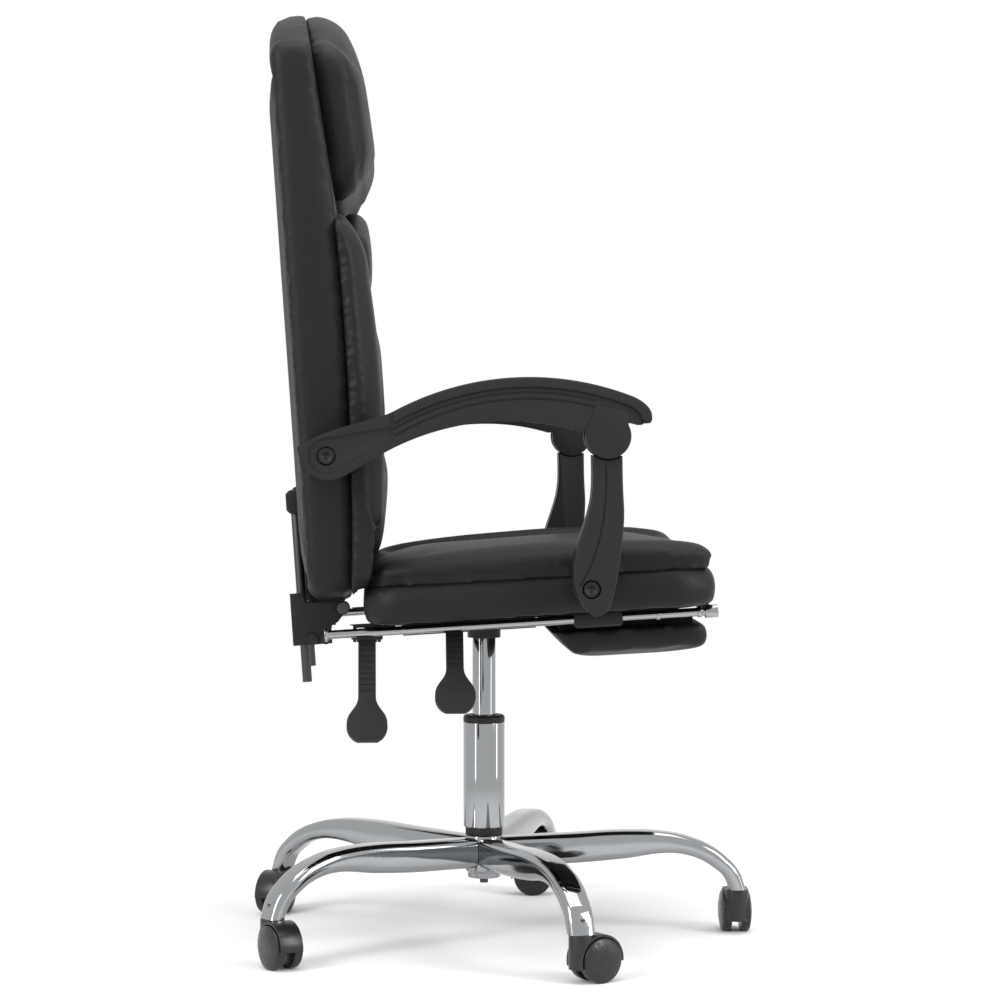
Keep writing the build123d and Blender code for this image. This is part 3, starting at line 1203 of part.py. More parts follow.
if __name__ == "__main__":
    os.makedirs("parts", exist_ok=True)
    for name, shape in build().items():
        export_step(shape, f"parts/{name}.step")
        print(name, round(shape.volume / 1000, 1), "cm3")
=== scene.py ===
# %% [markdown]
# # A reclining office chair, finished in Blender
#
# The CAD frame holds every piece of the chair at its real size and place. Here each piece gets the surface
# that the eye expects: padded leather, moulded nylon, chromed tube. The lesson goes from the camera and the
# light to the metal, then the plastic, and last the upholstery, which takes the most work.

# %% Load the frame
import json
import math

import bpy
from mathutils import Matrix, Vector

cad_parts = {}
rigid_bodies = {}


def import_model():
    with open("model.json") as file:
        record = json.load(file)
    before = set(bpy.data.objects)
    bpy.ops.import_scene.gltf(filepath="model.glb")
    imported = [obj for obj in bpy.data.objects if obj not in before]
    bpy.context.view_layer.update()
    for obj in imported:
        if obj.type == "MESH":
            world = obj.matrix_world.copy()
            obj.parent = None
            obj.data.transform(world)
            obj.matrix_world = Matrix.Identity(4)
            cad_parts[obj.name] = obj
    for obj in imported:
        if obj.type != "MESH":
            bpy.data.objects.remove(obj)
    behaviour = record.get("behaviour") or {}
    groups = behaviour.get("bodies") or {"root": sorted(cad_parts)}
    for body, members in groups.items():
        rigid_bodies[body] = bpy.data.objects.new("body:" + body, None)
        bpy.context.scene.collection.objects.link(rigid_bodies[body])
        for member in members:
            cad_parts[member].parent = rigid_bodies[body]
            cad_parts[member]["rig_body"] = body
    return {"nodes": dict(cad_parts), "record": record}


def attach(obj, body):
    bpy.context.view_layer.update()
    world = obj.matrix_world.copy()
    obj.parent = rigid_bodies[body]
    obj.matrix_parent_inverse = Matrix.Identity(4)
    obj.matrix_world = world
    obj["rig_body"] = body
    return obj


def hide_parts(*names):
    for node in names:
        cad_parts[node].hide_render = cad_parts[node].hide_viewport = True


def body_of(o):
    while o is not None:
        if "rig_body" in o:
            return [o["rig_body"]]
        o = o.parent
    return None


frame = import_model()
NODES = frame["nodes"]
SLOT_OF = {part["node"]: part["material_slot"] for part in frame["record"]["subparts"]}
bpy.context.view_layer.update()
for name in ("Cube", "Light", "Camera"):
    if name in bpy.data.objects:
        bpy.data.objects.remove(bpy.data.objects[name])

# %% [markdown]
# ## Selecting and copying
#
# Blender's operators act on what is selected, so every step begins by choosing one object, and inside it the
# faces or edges that the step is about. The CAD meshes arrive as loose triangles. A copy is merged into one
# skin, and flat triangles are dissolved into whole faces, before it is rounded or padded.

# %% Selection and copy helpers
MM = 0.001


def only(*objects):
    """Select these objects alone, the first one active."""
    bpy.ops.object.select_all(action="DESELECT")
    for obj in objects:
        obj.select_set(True)
    bpy.context.view_layer.objects.active = objects[0]


def pick(obj, kind, test):
    """Go into edit mode with the vertices, edges or faces selected that pass the test."""
    only(obj)
    mesh = obj.data
    for items in (mesh.vertices, mesh.edges, mesh.polygons):
        items.foreach_set("select", [False] * len(items))
    chosen = {"VERT": mesh.vertices, "EDGE": mesh.edges, "FACE": mesh.polygons}[kind]
    for item in chosen:
        item.select = test(item)
    bpy.context.tool_settings.mesh_select_mode = [kind == k for k in ("VERT", "EDGE", "FACE")]
    bpy.ops.object.mode_set(mode="EDIT")


def leave():
    """Go back to object mode."""
    bpy.ops.object.mode_set(mode="OBJECT")


def apply_all(obj):
    """Apply every modifier of an object, in order."""
    only(obj)
    for modifier in list(obj.modifiers):
        bpy.ops.object.modifier_apply(modifier=modifier.name)


def copied(node, name):
    """Merged copy of a CAD node, with flat triangles joined into faces."""
    obj = bpy.data.objects.new(name, NODES[node].data.copy())
    bpy.context.scene.collection.objects.link(obj)
    obj.data.materials.clear()
    pick(obj, "VERT", lambda v: True)
    bpy.ops.mesh.remove_doubles(threshold=0.01 * MM)
    bpy.ops.mesh.dissolve_limited(angle_limit=math.radians(0.5))
    bpy.ops.mesh.normals_make_consistent(inside=False)
    leave()
    return obj


def smooth(obj, angle=35):
    """Shade faces smooth where they meet at less than an angle in degrees."""
    only(obj)
    bpy.ops.object.shade_smooth_by_angle(angle=math.radians(angle))


# %% [markdown]
# ## Camera
#
# The picture was taken from the chair's right, a little above the seat, with a long lens from about three
# metres. A long lens keeps the near and the far arm almost the same size. The view is shifted sideways a
# little, as the chair isn't quite in the middle of the frame.

# %% Camera
eye, look = Vector((-0.1357, -3.2513, 0.6025)), Vector((0.04169, 0.99887, -0.02304))
bpy.ops.object.camera_add(location=eye, rotation=look.to_track_quat("-Z", "Y").to_euler())
camera = bpy.context.object
camera.data.lens = 97.02
camera.data.sensor_width = 36.0
camera.data.shift_x = 0.016
camera.data.clip_end = 50
bpy.context.scene.camera = camera
bpy.context.scene.view_settings.view_transform = "Standard"
print("camera", round((eye - Vector((0, 0, 0.5))).length, 2), "m from the chair")

# %% [markdown]
# ## White studio
#
# Catalogue chairs stand in a white sweep. The world looks white to the camera and in reflections, and lights
# the chair with a softer grey. A single bright world would be simpler, but it would wash out the black
# leather.

# %% World
ROOM_LIGHT = 0.75  # what the room gives the chair, where the white that is seen is 1


def linear(hex_colour):
    """sRGB hex to linear RGBA."""
    parts = [int(hex_colour[i:i + 2], 16) / 255 for i in (1, 3, 5)]
    return tuple(p / 12.92 if p <= 0.04045 else ((p + 0.055) / 1.055) ** 2.4 for p in parts) + (1.0,)


def add(tree, kind, settings=None, links=None):
    """Add a shader node with its settings and its incoming links."""
    node = tree.nodes.new(kind)
    for key, value in (settings or {}).items():
        if key in node.inputs:
            node.inputs[key].default_value = value
        else:
            setattr(node, key, value)
    for key, source in (links or {}).items():
        tree.links.new(source, node.inputs[key])
    return node


world = bpy.data.worlds.new("white_sweep")
bpy.context.scene.world = world
world.use_nodes = True
tree = world.node_tree
path = add(tree, "ShaderNodeLightPath")
seen = add(tree, "ShaderNodeMath", {"operation": "MAXIMUM"})
tree.links.new(path.outputs["Is Camera Ray"], seen.inputs[0])
tree.links.new(path.outputs["Is Glossy Ray"], seen.inputs[1])
shown = add(tree, "ShaderNodeMath", {"operation": "MAXIMUM"})
tree.links.new(seen.outputs[0], shown.inputs[0])
tree.links.new(path.outputs["Is Transmission Ray"], shown.inputs[1])
strength = add(tree, "ShaderNodeMapRange", {"To Min": ROOM_LIGHT, "To Max": 1.0}, {"Value": shown.outputs[0]})
tree.links.new(strength.outputs[0], tree.nodes["Background"].inputs["Strength"])
tree.nodes["Background"].inputs["Color"].default_value = (1.0, 1.0, 1.0, 1.0)
print("world", world.name)

# %% [markdown]
# ## Floor
#
# The floor is a plain pale plane that keeps the shadow under the base. It fades into the white room away from
# the chair, so no horizon shows. A curved backdrop would do the same, but only from one side.

# %% Floor
FLOOR_SIZE = 40  # m
FADE_FROM, FADE_TO = 0.5, 1.5  # m from the column

bpy.ops.mesh.primitive_plane_add(size=FLOOR_SIZE, location=(0, 0, 0))
floor = bpy.context.object
floor.name = "studio_floor"
paper = bpy.data.materials.new("white_paper")
paper.use_nodes = True
tree = paper.node_tree
sheet = tree.nodes["Principled BSDF"]
sheet.inputs["Base Color"].default_value = linear("#f4f4f4")
sheet.inputs["Roughness"].default_value = 1.0
sheet.inputs["Specular IOR Level"].default_value = 0.0
away = add(tree, "ShaderNodeVectorMath", {"operation": "LENGTH"},
           {0: add(tree, "ShaderNodeTexCoord").outputs["Object"]})
fade = add(tree, "ShaderNodeMapRange",
           {"From Min": FADE_FROM, "From Max": FADE_TO, "interpolation_type": "SMOOTHSTEP"},
           {"Value": away.outputs["Value"]})
room = add(tree, "ShaderNodeBsdfTransparent")
mix = add(tree, "ShaderNodeMixShader", {}, {0: fade.outputs[0], 1: sheet.outputs[0], 2: room.outputs[0]})
tree.links.new(mix.outputs[0], tree.nodes["Material Output"].inputs["Surface"])
floor.data.materials.append(paper)
print("floor", FLOOR_SIZE, "m")

# %% [markdown]
# ## Lamps
#
# Three large lamps make the soft bands along the leather's edges. Two dim upright strips beside the chair
# hardly light anything, but the chrome column mirrors them as white lines.


# %% Lamps
def lamp(name, place, aim, size, power):
    """Large soft lamp at a place, turned to its aim."""
    turn = (Vector(aim) - Vector(place)).to_track_quat("-Z", "Y").to_euler()
    bpy.ops.object.light_add(type="AREA", location=place, rotation=turn)
    light = bpy.context.object
    light.name = name
    light.data.shape = "RECTANGLE"
    light.data.size, light.data.size_y = size
    light.data.energy = power


lamp("key_left", (-2.6, -2.2, 2.2), (0, 0, 0.6), (1.2, 2.2), 75)
lamp("fill_right", (2.6, -1.8, 1.7), (0, 0, 0.5), (1.0, 2.0), 60)
lamp("top", (0.2, -0.4, 3.4), (0, 0, 0.4), (2.6, 2.2), 55)
lamp("strip_left", (-1.6, -1.35, 0.5), (0, 0, 0.5), (0.16, 1.0), 3)
lamp("strip_right", (2.0, -0.6, 0.5), (0, 0, 0.5), (0.2, 1.0), 3)

# %% [markdown]
# ## Finishes
#
# The upholstery is black polyurethane leather: a satin skin with a fine pebble grain. The real grain is under
# a millimetre, too fine for this picture, so it is drawn at about two and a half. Arms, posts and levers are
# moulded nylon with a dull spark-eroded surface. The base, the column and the rails are chromed.

# %% Materials
FINISH = {}


def finish(slot, name, colour, roughness, metallic=0.0, grain=(), grain_height=0.0, gleam=0.5):
    """Principled material for a record slot, with bump grains given as (cell in mm, share of the height)."""
    mat = bpy.data.materials.new(name)
    mat.use_nodes = True
    tree = mat.node_tree
    shader = tree.nodes["Principled BSDF"]
    shader.inputs["Base Color"].default_value = linear(colour)
    shader.inputs["Roughness"].default_value = roughness
    shader.inputs["Metallic"].default_value = metallic
    shader.inputs["Specular IOR Level"].default_value = gleam
    mat.diffuse_color = linear(colour)
    place = add(tree, "ShaderNodeTexCoord")
    last = None
    for cell, share in grain:
        cells = add(tree, "ShaderNodeTexVoronoi", {"feature": "SMOOTH_F1", "Scale": 1000.0 / cell},
                    {"Vector": place.outputs["Object"]})
        links = {"Height": cells.outputs["Distance"]}
        if last:
            links["Normal"] = last.outputs["Normal"]
        last = add(tree, "ShaderNodeBump", {"Strength": share, "Distance": grain_height * MM}, links)
    if last:
        tree.links.new(last.outputs["Normal"], shader.inputs["Normal"])
    FINISH[slot] = mat


# Satin black skin: the grain breaks the highlight, so broad faces don't look like plastic.
finish("black_leather", "black_pu_leather", "#161617", 0.52, 0.0, ((2.6, 0.2),), 0.5, gleam=0.2)
# Dull moulded nylon, a little lighter than the leather.
finish("black_plastic", "moulded_black_nylon", "#1a1a1b", 0.5, 0.0, ((1.6, 0.1),), 0.3, gleam=0.25)
# Soft-touch arm pads, softer highlight than the shell.
finish("soft_touch", "soft_touch_rubber", "#1b1b1c", 0.6, 0.0, ((1.6, 0.1),), 0.3, gleam=0.25)
# Glossier nylon of hoods and wheels.
finish("caster_plastic", "caster_nylon", "#1b1b1c", 0.3, gleam=0.4)
# Bright chrome, which mirrors the white room as mid grey with white lamp lines.
finish("chromed_steel", "bright_chrome", "#999b9d", 0.08, 1.0)
# Dark zinc plating of pins and rods.
finish("steel", "zinc_plated_steel", "#47494b", 0.4, 1.0)
# Black powder coat with a slight orange peel.
finish("painted_steel", "black_powder_coat", "#161616", 0.45, 0.0, ((3.0, 0.08),), 0.3, gleam=0.25)
# Black non-woven cover under the boards: no gleam at all.
finish("dust_cover", "black_dust_cover", "#131313", 0.9, 0.0, ((3.0, 0.2),), 0.5, gleam=0.1)
for name, node in NODES.items():
    node.data.materials.clear()
    node.data.materials.append(FINISH[SLOT_OF[name]])
print("finishes", sorted(FINISH))


def settle(obj, *nodes):
    """Give a finished piece the finish and the body of the CAD nodes that it stands for."""
    slot = SLOT_OF[nodes[0]]
    obj.data.materials.clear()
    obj.data.materials.append(FINISH[slot])
    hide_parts(*nodes)
    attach(obj, body_of(NODES[nodes[0]])[0])
    return obj


# %% [markdown]
# ## Turned, folded and moulded pieces
#
# No made edge is perfectly sharp. A bend has a radius, a turned rim is broken, a moulding is rounded so that
# it leaves its mould. Each rigid piece is copied, its corners get a small bevel of the size that its process
# leaves, and its curved faces are shaded smooth.

# %% Rounded copies of the rigid pieces
BEVEL_STEPS = 3
CORNER = math.radians(38)  # edges that are sharper than this are broken


def rounded(node, edge_mm):
    """Copy of a rigid node with bevelled corners."""
    obj = copied(node, node + "_finished")
    if edge_mm:
        bevel = obj.modifiers.new("Edge", "BEVEL")
        bevel.width, bevel.segments = edge_mm * MM, BEVEL_STEPS
        bevel.limit_method, bevel.angle_limit = "ANGLE", CORNER
        bevel.use_clamp_overlap = True
        apply_all(obj)
    smooth(obj)
    return settle(obj, node)


# Edge of each piece in mm
EDGES = {
    "base_hub": 0.8, "column_tube": 0.8, "column_collar": 0.8, "column_bush": 0.8, "gas_cylinder": 0.6,
    "gas_piston_rod": 0, "thrust_bearing": 0, "tilt_plate": 0.8, "seat_hinge_ears": 0.8,
    "seat_fasteners": 0.4, "footrest_guides": 1.2, "recline_lever_bracket": 0.6, "post_studs": 0.6,
    "lift_lever_rod": 0.5, "lift_lever_handle": 0.9, "recline_lever_handle": 0.9,
    "footrest_rails": 0.6, "footrest_hinges": 0.6,
    "back_bracket": 1.0, "back_carriers": 0.6, "carrier_clamps": 1.5, "back_fasteners": 0.6,
    "arm_shell_right": 1.6, "arm_shell_left": 1.6, "arm_post_right": 1.6, "arm_post_left": 1.6,
    "arm_pad_right": 2.5, "arm_pad_left": 2.5,
}
PIECES = {node: rounded(node, edge) for node, edge in EDGES.items()}
print("rounded pieces", len(EDGES))

# %% [markdown]
# ## Bolt sockets
#
# The arms and posts turn on bolts whose black heads sit sunk in the mouldings. Each head has a socket for a
# key. The outer face of a head is inset twice: once for the rim, and once downwards for the hole.

# %% Bolt sockets
HEAD_RIM, SOCKET_WALL, SOCKET_DEPTH = 4.2 * MM, 0.3 * MM, 2.5 * MM
OUTER_SIDE, HEAD_AREA = 0.28, 1e-4  # m from the middle of the chair, and least area in m2


def is_head(face):
    """True for the flat outer face of a bolt's head."""
    return abs(face.normal.y) > 0.99 and abs(face.center.y) > OUTER_SIDE and face.area > HEAD_AREA


for node in ("post_studs", "back_fasteners"):
    pick(PIECES[node], "FACE", is_head)
    print(node, "heads", sum(f.select for f in PIECES[node].data.polygons))
    bpy.ops.mesh.inset(thickness=HEAD_RIM)
    bpy.ops.mesh.inset(thickness=SOCKET_WALL, depth=-SOCKET_DEPTH)
    leave()

# %% [markdown]
# ## Casters
#
# A caster is a nylon hood over two domed wheels. All five are alike, each turned its own way. The dome is
# shaded as one round face, which is why its limit for smooth shading is wider than elsewhere.

# %% Casters
CASTER_EDGE, ROUND = 0.8, 50  # mm and degrees

for i in range(1, 6):
    rounded(f"caster_hood_{i}", CASTER_EDGE)
    wheels = rounded(f"caster_wheels_{i}", CASTER_EDGE)
    smooth(wheels, ROUND)
print("casters", i)

# %% [markdown]
# ## Legs
#
# Each leg is a pressed and welded tube: level and deep at the hub, thinner towards the tip, and bent down to
# the caster. Extruding one section and bending it would keep the depth constant. Rings at ten stations,
# bridged with a smooth surface, follow both the taper and the bend.

# %% Legs
STATIONS = (
    # reach, height, slope, width, depth in mm
    (21, 102.5, 0, 30, 36), (66, 104.4, 1, 32, 36), (105, 106.0, 1, 33, 36), (168, 110.0, 1, 33, 34),
    (222, 112.0, -4, 33, 25), (246, 108.0, -20, 33, 22), (269, 99.5, -37, 33, 21),
    (286, 88.0, -53, 32.5, 20.5), (299.5, 74.5, -70, 31.5, 20), (308, 54.5, -90, 30.5, 20),
)
LEG_CORNER, LEG_CORNER_SHARE = 8.5, 0.4  # mm, and the most of the leg's depth that a corner takes


def leg_ring(reach, height, slope, width, depth):
    """Rounded ring across the leg, square to its path."""
    bpy.ops.mesh.primitive_plane_add(size=1, location=(reach * MM, 0, height * MM),
                                     rotation=(0, math.radians(90 - slope), 0))
    ring = bpy.context.object
    ring.scale = (depth * MM, width * MM, 1)
    bpy.ops.object.transform_apply(location=True, rotation=True, scale=True)
    bpy.ops.object.mode_set(mode="EDIT")
    bpy.ops.mesh.select_all(action="SELECT")
    bpy.ops.mesh.bevel(offset=min(LEG_CORNER, LEG_CORNER_SHARE * depth) * MM, segments=5, affect="VERTICES")
    bpy.ops.mesh.select_all(action="SELECT")
    bpy.ops.mesh.delete(type="ONLY_FACE")
    leave()
    return ring


rings = [leg_ring(*station) for station in STATIONS]
only(*rings)
bpy.ops.object.join()
leg = rings[0]
leg.name = "leg_1_pressing"
bpy.ops.object.mode_set(mode="EDIT")
bpy.ops.mesh.select_all(action="SELECT")
bpy.ops.mesh.bridge_edge_loops(type="SINGLE", number_cuts=5, interpolation="SURFACE", smoothness=1.0)
bpy.ops.mesh.select_all(action="SELECT")
bpy.ops.mesh.fill_holes(sides=0)
bpy.ops.mesh.normals_make_consistent(inside=False)
leave()
legs = [leg]
for i in range(1, 5):
    twin = bpy.data.objects.new(f"leg_{i + 1}_pressing", leg.data.copy())
    bpy.context.scene.collection.objects.link(twin)
    twin.data.transform(Matrix.Rotation(math.radians(72 * i), 4, "Z"))
    legs.append(twin)
for i, obj in enumerate(legs):
    smooth(obj, ROUND)
    settle(obj, f"base_leg_{i + 1}")
print("leg faces", len(leg.data.polygons))

# %% [markdown]
# ## Upholstery
#
# A cushion is foam in a tight cover: the cover pulls in at its seams and swells between them. Drawing that
# swell by hand looks stiff, so the CAD block is turned into an even skin, eased, and blown up with Cloth
# pressure while the part that rests on the frame is held. How far a point may move is capped, so the cushion
# stays in its place. Then the skin is eased again, as thick leather doesn't crumple into small folds.

# %% Even skin
EASE = 0.5  # how far one step of smoothing goes


def eased(obj, steps):
    """Smooth the points that aren't held."""
    ease = obj.modifiers.new("Ease", "SMOOTH")
    ease.factor, ease.iterations = EASE, steps
    ease.vertex_group, ease.invert_vertex_group = "held", True
    apply_all(obj)


REMESH_TURN = Matrix.Rotation(0.6, 4, "X") @ Matrix.Rotation(0.5, 4, "Y") @ Matrix.Rotation(0.7, 4, "Z")


def turned(obj, turn):
    """Turn a mesh about the origin. Remesh lays its grid along the axes, and an arch that runs almost level
    with the grid comes out in steps. Turned askew, it doesn't."""
    only(obj)
    obj.matrix_world = turn
    bpy.ops.object.transform_apply(location=False, rotation=True, scale=False)


def even_skin(node, voxel, even):
    """Copy of a CAD block in even faces of a size in mm, smoothed by a number of steps."""
    obj = copied(node, node + "_padding")
    turned(obj, REMESH_TURN)
    skin = obj.modifiers.new("Skin", "REMESH")
    skin.mode, skin.voxel_size = "VOXEL", voxel * MM
    apply_all(obj)
    turned(obj, REMESH_TURN.inverted())
    level = obj.modifiers.new("Even", "SMOOTH")
    level.factor, level.iterations = EASE, even
    apply_all(obj)
    return obj


print("remesh turned by", [round(math.degrees(angle)) for angle in REMESH_TURN.to_euler()], "degrees")

# %% [markdown]
# ## Blowing up a cushion
#
# Foam presses its cover outwards. Cloth with pressure and no gravity does the same in twenty frames. The
# cover is stiff, so it swells as a whole and doesn't crease.

# %% Cushion maker
scene = bpy.context.scene
FRAMES = 20
COVER_MASS, COVER_BEND, COVER_STRETCH = 0.35, 12.0, 25.0
LAST_EASE = 6  # steps of smoothing after the swell


def blown(obj, pressure, cap, stiffness):
    """Blow a skin up, no point further than a cap in mm."""
    start = [v.co.copy() for v in obj.data.vertices]
    cloth = obj.modifiers.new("Cloth", "CLOTH")
    cloth.settings.quality = 4
    cloth.settings.mass = COVER_MASS
    cloth.settings.tension_stiffness = cloth.settings.compression_stiffness = stiffness
    cloth.settings.bending_stiffness = COVER_BEND
    cloth.settings.use_pressure = True
    cloth.settings.uniform_pressure_force = pressure
    cloth.settings.vertex_group_mass = "held"
    cloth.settings.effector_weights.gravity = 0.0
    cloth.point_cache.frame_start, cloth.point_cache.frame_end = 1, FRAMES
    for step in range(1, FRAMES + 1):
        scene.frame_set(step)
    apply_all(obj)
    scene.frame_set(1)
    for vertex, before in zip(obj.data.vertices, start):
        move = vertex.co - before
        if move.length > cap * MM:
            vertex.co = before + move.normalized() * cap * MM
    eased(obj, LAST_EASE)


def cushion(node, voxel, even, soften, pressure, cap, held, sink=Vector(), stiffness=COVER_STRETCH):
    """Padded piece made from a CAD block. held says which points rest on the frame, and sink is how far
    those points go into the cushion that they are sewn to."""
    obj = even_skin(node, voxel, even)
    rest = [v.index for v in obj.data.vertices if held(v.co)]
    obj.vertex_groups.new(name="held").add(rest, 1.0, "REPLACE")
    eased(obj, soften)
    blown(obj, pressure, cap, stiffness)
    for index in rest:
        obj.data.vertices[index].co += sink
    fine = obj.modifiers.new("Fine", "SUBSURF")
    fine.levels = fine.render_levels = 1
    apply_all(obj)
    only(obj)
    bpy.ops.object.shade_smooth()
    settle(obj, node)
    print(node, "faces", len(obj.data.polygons))
    return obj


print("swell in", FRAMES, "frames")

# %% [markdown]
# ## Seams and fullness
#
# A sewn line pulls the cover in. A place where more foam was stuffed stands out. Both are drawn with
# proportional editing: a few points move, and those near them follow less and less, as leather does.

# %% Seams and fullness
ON_SEAM = 1.6   # mm, half of the strip of points that a seam takes
NO_SEAM = 99.0  # mm, a distance that no seam reaches


def seam(obj, distance, depth, width):
    """Press a sewn line into a cushion along the points where distance, in mm, is nought."""
    pick(obj, "VERT", lambda v: abs(distance(v.co)) < ON_SEAM)
    bpy.ops.transform.shrink_fatten(value=-depth * MM, use_proportional_edit=True,
                                    proportional_edit_falloff="SMOOTH", proportional_size=width * MM)
    leave()


def fuller(obj, test, move, reach, fixed=lambda co: False):
    """Draw the points that pass a test out by a move in mm. Those within reach follow softly, unless they
    are fixed. Hidden points stay where they are."""
    pick(obj, "VERT", lambda v: fixed(v.co))
    bpy.ops.mesh.hide()
    leave()
    pick(obj, "VERT", lambda v: not v.hide and test(v.co))
    bpy.ops.transform.translate(value=Vector(move) * MM, use_proportional_edit=True,
                                proportional_edit_falloff="SMOOTH", proportional_size=reach * MM)
    bpy.ops.mesh.reveal(select=False)
    leave()


print("seam strip", 2 * ON_SEAM, "mm")

# %% [markdown]
# ## Leaning frames
#
# The seat tilts up at its nose and the back leans. Distances on a cushion are easier to give square to it, so
# each gets its own frame, with the angles and the places that the CAD part has.

# %% Frames of the seat and the back
SEAT_TILT, BACK_LEAN = math.radians(3.4), math.radians(3.9)
SEAT_AT, HINGE_AT = Vector((0, 0, 0.3977)), Vector((-0.1685, 0, 0.4075))
SEAT_TURN, BACK_TURN = (Matrix.Rotation(angle, 3, "Y") for angle in (SEAT_TILT, BACK_LEAN))


def in_seat(co):
    """Point in the seat's tilted frame, in mm: forward, left and up from the board's underside."""
    return (SEAT_TURN @ (co - SEAT_AT)) / MM


def in_back(co):
    """Point in the back's leaning frame, in mm: forward, left and up from the recline hinge."""
    return (BACK_TURN @ (co - HINGE_AT)) / MM


BACKWARD = -Vector((math.cos(BACK_LEAN), 0, math.sin(BACK_LEAN))) * MM
DOWN = -Vector((-math.sin(SEAT_TILT), 0, math.cos(SEAT_TILT))) * MM
print("seat at", tuple(SEAT_AT), "hinge at", tuple(HINGE_AT))

# %% [markdown]
# ## Seat
#
# The seat is a box cushion round the board, with a softer top cushion sewn onto it. The box is firm and only
# bows a little at its sides, so it is held below and above. The top cushion has a roll at each side and a
# sunk middle, with a sewn channel between them. It is held where it is sewn to the box.

# %% Seat cushions
SEWN_Z, BASE_TOP_Z = 51, 48           # sewn edge of the top cushion, upper edge of the box
BOX_SIDE = (7, 45)                    # part of the box's sides that bows
BASE_NOSE_X, TOP_NOSE_X = 248, 236    # where the rounded fronts begin
TOP_NOSE_Z = 58
CHANNEL_Y, CHANNEL_Z = 186, 70        # channel beside each side roll, on the upper face

seat_base = cushion("seat_base_cushion", voxel=6, even=7, soften=3, pressure=2.5, cap=8,
                    held=lambda co: not BOX_SIDE[0] < in_seat(co).z < BOX_SIDE[1])
seat_top = cushion("seat_top_cushion", voxel=6, even=7, soften=2, pressure=2.5, cap=9,
                   held=lambda co: in_seat(co).z < SEWN_Z, sink=5 * DOWN, stiffness=40.0)
fuller(seat_base, lambda co: in_seat(co).x > BASE_NOSE_X, (4, 0, 0), 30)
fuller(seat_top, lambda co: in_seat(co).x > TOP_NOSE_X and in_seat(co).z > TOP_NOSE_Z, (9, 0, 0), 26)
seam(seat_base, lambda co: in_seat(co).z - BASE_TOP_Z, 2.5, 9)
seam(seat_top, lambda co: in_seat(co).z - SEWN_Z, 3.5, 12)
seam(seat_top, lambda co: abs(in_seat(co).y) - CHANNEL_Y if in_seat(co).z > CHANNEL_Z else NO_SEAM, 5.0, 18)

# %% [markdown]
# ## Footrest pad
#
# The pad hangs under the seat with its soft side down, so that it faces up once it is pulled out and flipped
# over. It is held along the board that it is stapled to.

# %% Footrest pad
STAPLED_Z, PAD_NOSE_X = -26, 240

footrest = cushion("footrest_pad", voxel=5, even=3, soften=1, pressure=2.5, cap=8,
                   held=lambda co: in_seat(co).z > STAPLED_Z)
fuller(footrest, lambda co: in_seat(co).x > PAD_NOSE_X, (6, 0, 0), 40)

# %% [markdown]
# ## Back slab and rear panel
#
# The back is a flat upholstered slab with a thin panel on its rear. The slab's faces are pulled flat by the
# board inside, so only its sides bow. The panel is held where it lies against the slab.

# %% Back slab and rear panel
FACE_X = 25                            # the slab's front face, ahead of the hinge
SHOULDER_Z, SHOULDER_LEAN = 443, 0.0905  # the face leans back above this height
WAIST_Z, WAIST_LEAN = 186, 0.053         # and also below this one
SLAB_REAR_X, PANEL_SEWN_X = -24, -31


def on_face(co, reach):
    """True for points within reach of the slab's front face, which leans back above its shoulder."""
    x, _, z = in_back(co)
    face = FACE_X - SHOULDER_LEAN * max(0, z - SHOULDER_Z) - WAIST_LEAN * max(0, WAIST_Z - z)
    return x < face + reach


cushion("back_slab", voxel=6, even=8, soften=8, pressure=2.0, cap=8,
        held=lambda co: in_back(co).x < SLAB_REAR_X or not on_face(co, -5))
cushion("back_panel", voxel=6, even=8, soften=3, pressure=1.5, cap=5,
        held=lambda co: in_back(co).x > PANEL_SEWN_X)

# %% [markdown]
# ## Headrest pillow
#
# The pillow rolls over the top of the back. Its side panels meet its front in a sewn line, and its lower edge
# is drawn back and up, where the neck needs room. It is held on the face that it is sewn to.

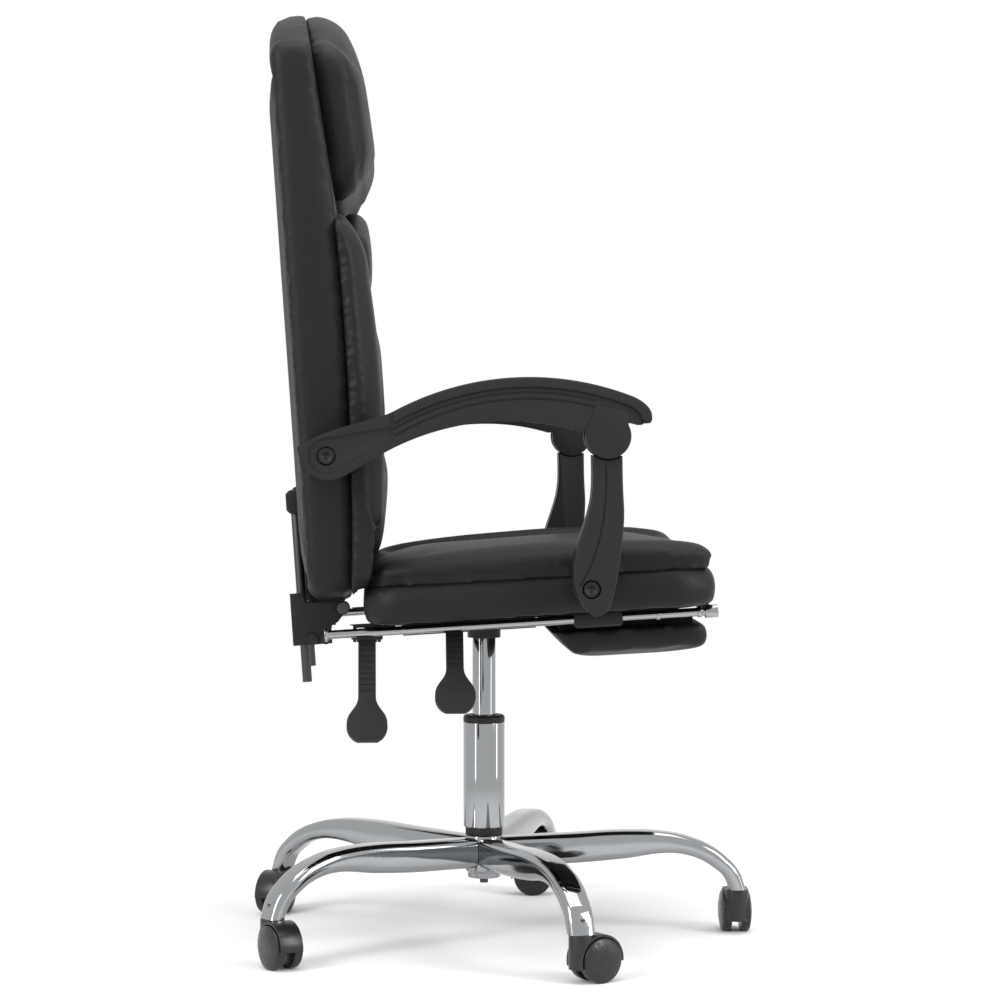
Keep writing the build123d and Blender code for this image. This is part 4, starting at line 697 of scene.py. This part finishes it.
# %% Headrest pillow
PILLOW_LEAN = math.atan2(23, 266)
SIDE_SEAM, SIDE_SEAM_TOP = 39, 590  # depth of the sewn line, and the height where it ends
PILLOW_LOW_Z = 470


def pillow_depth(co):
    """How far a point lies in front of the leaning face behind the headrest, in mm."""
    x, _, z = in_back(co)
    return (x - FACE_X) * math.cos(PILLOW_LEAN) + (z - SHOULDER_Z) * math.sin(PILLOW_LEAN)


pillow = cushion("headrest_pillow", voxel=5, even=12, soften=2, pressure=2.5, cap=4,
                 held=lambda co: on_face(co, 6), sink=3 * BACKWARD)
seam(pillow, lambda co: pillow_depth(co) - SIDE_SEAM if in_back(co).z < SIDE_SEAM_TOP else NO_SEAM, 2.0, 8)
fuller(pillow, lambda co: in_back(co).z < PILLOW_LOW_Z and not on_face(co, 14), (-9, 0, 12), 60)

# %% [markdown]
# ## Back pads and bolsters
#
# An upper pad, a lower pad in two lobes and a leaf-shaped bolster at each side are sewn onto the slab. Each
# sinks a little into it. The lower pad hangs down to the seat, and the bolsters' lower ends fill the corner
# behind it. What is sewn to the slab stays fixed while these ends are drawn out.

# %% Back pads and bolsters
PAD_LOW_Z, BOLSTER_LOW_Z = 96, 104  # lower ends, in the seat's frame
BOLSTER_FRONT = 17                  # mm in front of the slab, the bolster's fuller part above its end

cushion("upper_back_pad", voxel=5, even=8, soften=2, pressure=4.0, cap=12,
        held=lambda co: on_face(co, 6), sink=4 * BACKWARD)
lower_pad = cushion("lower_back_pad", voxel=5, even=5, soften=2, pressure=2.5, cap=6,
                    held=lambda co: on_face(co, 6), sink=4 * BACKWARD)
bolsters = cushion("back_bolsters", voxel=5, even=3, soften=1, pressure=4.0, cap=12,
                   held=lambda co: on_face(co, 4), sink=4 * BACKWARD)
fuller(lower_pad, lambda co: in_seat(co).z < PAD_LOW_Z, (0, 0, -14), 70)
fuller(bolsters, lambda co: in_seat(co).z < BOLSTER_LOW_Z and not on_face(co, 8), (10, 0, 0), 40,
       lambda co: on_face(co, 4) or (in_seat(co).z > BOLSTER_LOW_Z - 4 and not on_face(co, BOLSTER_FRONT)))
